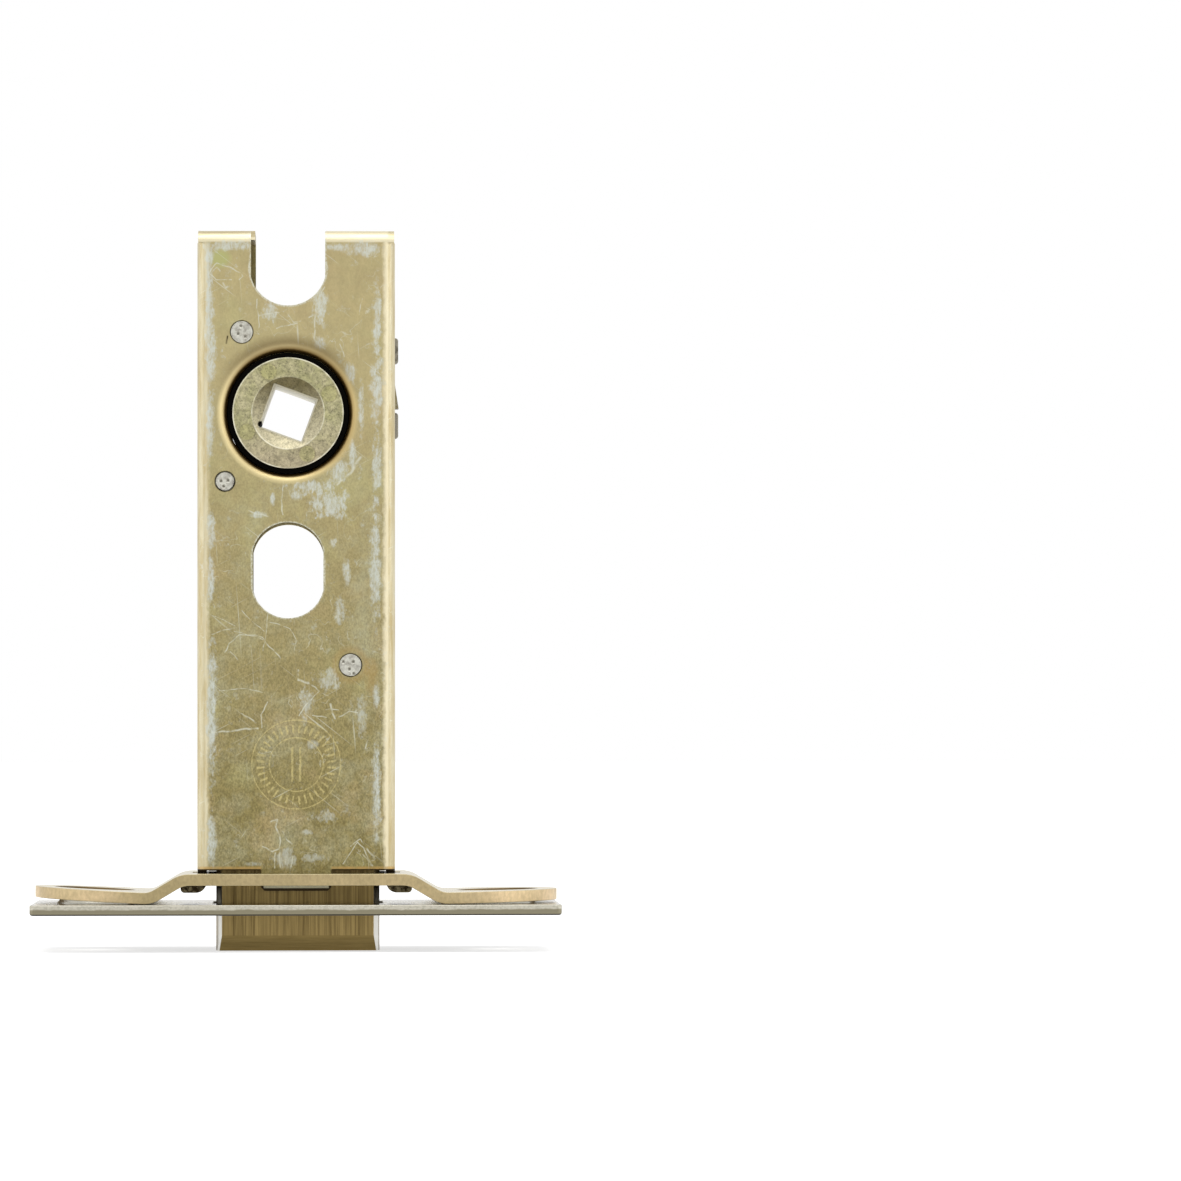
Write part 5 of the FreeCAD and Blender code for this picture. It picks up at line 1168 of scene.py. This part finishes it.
def eased(node_name, name, slot, edge_round):
    """A node with its sharp edges eased, as sheared, cast and machined edges are."""
    piece = add_piece(name, merged_copy(node_name), slot, node_name)
    for attribute in [item.name for item in piece.data.attributes if "custom_normal" in item.name]:
        piece.data.attributes.remove(piece.data.attributes[attribute])
    rounding = piece.modifiers.new("eased edges", "BEVEL")
    rounding.width = edge_round
    rounding.segments = 2
    rounding.limit_method = "ANGLE"
    rounding.angle_limit = SHARP_ANGLE
    rounding.use_clamp_overlap = True
    shading = piece.modifiers.new("flat faces", "WEIGHTED_NORMAL")
    shading.keep_sharp = True
    shading.weight = 100
    return piece


eased("case_shell", "folded_case", "zinc_case", 0.09 * MM)
eased("rear_cover", "cover_plate", "zinc_cover", 0.09 * MM)
eased("inner_forend", "joggled_strip", "zinc_forend", 0.18 * MM)
eased("outer_forend", "face_plate", "bronze_forend", 0.12 * MM)
eased("bolt_head", "bolt_bar", "brass_bolt", 0.07 * MM)
eased("follower_hub", "cast_hub", "cast_hub", 0.08 * MM)
eased("tail_guide", "guide_strip", "inner_steel", 0.06 * MM)
eased("bolt_tail", "bolt_strip", "inner_steel", 0.08 * MM)


# Staked pins: the ends are hammered over, which leaves small dents in them.

PIN_STEPS = 72
PIN_RINGS = 18
PIN_RIM = 0.14 * MM
PIN_SHOULDER = 0.2 * MM


def make_staked_pin(node_name, name):
    """A pin turned about its axis, with a worn rim and the dents of the staking."""
    centre_x, centre_z, radius = [size * MM for size in PIN_CENTRES[node_name]]
    body_radius = radius + PIN_SHOULDER
    inner_face = REAR - SHEET
    half_section = [(radius * ring / PIN_RINGS, REAR) for ring in range(PIN_RINGS)]
    half_section[-1] = (radius - PIN_RIM, REAR)
    half_section += [(radius - 0.35 * PIN_RIM, REAR - 0.3 * PIN_RIM), (radius, REAR - PIN_RIM)]
    half_section += [(radius, inner_face), (body_radius, inner_face)]
    outline = [(reach, -depth) for reach, depth in half_section]
    outline += [(reach, depth) for reach, depth in reversed(half_section)]
    shape = bmesh.new()
    corners = [shape.verts.new((reach, depth, 0.0)) for reach, depth in outline]
    edges = [shape.edges.new(pair) for pair in zip(corners, corners[1:])]
    bmesh.ops.spin(shape, geom=corners + edges, cent=(0, 0, 0), axis=(0, 1, 0), angle=math.tau,
                   steps=PIN_STEPS, use_merge=True)
    bmesh.ops.remove_doubles(shape, verts=shape.verts, dist=MERGE_DISTANCE)
    bmesh.ops.recalc_face_normals(shape, faces=shape.faces)
    bmesh.ops.translate(shape, verts=shape.verts, vec=(centre_x, 0, centre_z))
    for corner in shape.verts:
        if abs(corner.co.y) < REAR - 0.5 * PIN_RIM:
            continue
        for dent_x, dent_z in DENTS[node_name]:
            dent = Vector((centre_x + dent_x * MM, corner.co.y, centre_z + dent_z * MM))
            gap = (corner.co - dent).length
            sink = DENT_DEPTH * math.exp(-((gap / DENT_RADIUS) ** 2))
            corner.co.y -= math.copysign(sink, corner.co.y)
    for face in shape.faces:
        face.smooth = True
    piece = add_piece(name, shape, "staked_pins", node_name)
    shading = piece.modifiers.new("flat faces", "WEIGHTED_NORMAL")
    shading.keep_sharp = True
    return piece


make_staked_pin("spring_pin_upper", "staked_pin_upper")
make_staked_pin("spring_pin_lower", "staked_pin_lower")
make_staked_pin("stop_pin", "staked_pin_stop")


# Stage, light and camera

def light_path_share(tree):
    """1 for rays from the camera, from gloss and through glass, 0 for soft light."""
    path = node(tree, "LightPath").outputs
    return most_of(tree, path["Is Camera Ray"], path["Is Glossy Ray"], path["Is Transmission Ray"])


FLOOR_REACH = 4.0
FLOOR_GREY = (0.8, 0.8, 0.8, 1)
FLOOR_GLOW = 0.68
SOFT_SKY = 0.55
WHITE = (1, 1, 1, 1)


def make_floor():
    """A matt floor that keeps the shadow and shows white to the camera and to gloss."""
    shape = bmesh.new()
    bmesh.ops.create_grid(shape, x_segments=1, y_segments=1, size=FLOOR_REACH)
    bmesh.ops.translate(shape, verts=shape.verts, vec=(0, 0, FLOOR_HEIGHT))
    mesh = bpy.data.meshes.new("floor")
    shape.to_mesh(mesh)
    shape.free()
    floor = bpy.data.objects.new("floor", mesh)
    scene.collection.objects.link(floor)
    material = bpy.data.materials.new("pale_floor")
    material.use_nodes = True
    tree = material.node_tree
    tree.nodes.remove(tree.nodes["Principled BSDF"])
    matt = node(tree, "BsdfDiffuse", {"Color": FLOOR_GREY})
    glow = node(tree, "Emission", {"Strength": product(tree, light_path_share(tree), FLOOR_GLOW)})
    both = node(tree, "AddShader", {0: matt.outputs[0], 1: glow.outputs[0]})
    tree.links.new(both.outputs[0], tree.nodes["Material Output"].inputs["Surface"])
    mesh.materials.append(material)


def make_world():
    """A soft sky that is white where it is seen."""
    world = bpy.data.worlds.new("studio")
    scene.world = world
    world.use_nodes = True
    tree = world.node_tree
    strength = mix_value(tree, light_path_share(tree), SOFT_SKY, 1.0)
    tree.links.new(strength, tree.nodes["Background"].inputs["Strength"])
    tree.nodes["Background"].inputs["Color"].default_value = WHITE


# Each softbox: its place, its width and height, and its power in watts
SOFTBOXES = {
    "softbox_right": ((0.8, -0.25, 0.25), 0.7, 0.7, 1.9),
    "softbox_left": ((-0.8, -0.15, 0.25), 0.7, 0.7, 1.55),
    "softbox_top": ((0.0, -0.3, 0.85), 0.8, 0.7, 3.1),
}
LIT_POINT = Vector((0, 0, 0.04))


def make_softbox(name, place, width, height, power):
    """A rectangular lamp that faces the middle of the lock."""
    lamp = bpy.data.lights.new(name, "AREA")
    lamp.shape = "RECTANGLE"
    lamp.size = width
    lamp.size_y = height
    lamp.energy = power
    holder = bpy.data.objects.new(name, lamp)
    holder.location = place
    way = LIT_POINT - Vector(place)
    holder.rotation_euler = way.to_track_quat("-Z", "Y").to_euler()
    scene.collection.objects.link(holder)


make_floor()
make_world()
for softbox, values in SOFTBOXES.items():
    make_softbox(softbox, *values)

# The camera stands almost square to the front, a little below its middle and far off
PHOTO_WIDTH = 1181
FOCAL_PIXELS = 6938.3
SENSOR = 36.0
CAMERA_PLACE = (2.83 * MM, -795.6 * MM, 21.48 * MM)
CAMERA_TURN = (math.pi / 2 + 0.019356, 0.000839, -0.038796)

camera_data = bpy.data.cameras.new("camera")
camera_data.sensor_width = SENSOR
camera_data.lens = SENSOR * FOCAL_PIXELS / PHOTO_WIDTH
camera = bpy.data.objects.new("camera", camera_data)
camera.location = CAMERA_PLACE
camera.rotation_euler = Euler(CAMERA_TURN)
scene.collection.objects.link(camera)
scene.camera = camera
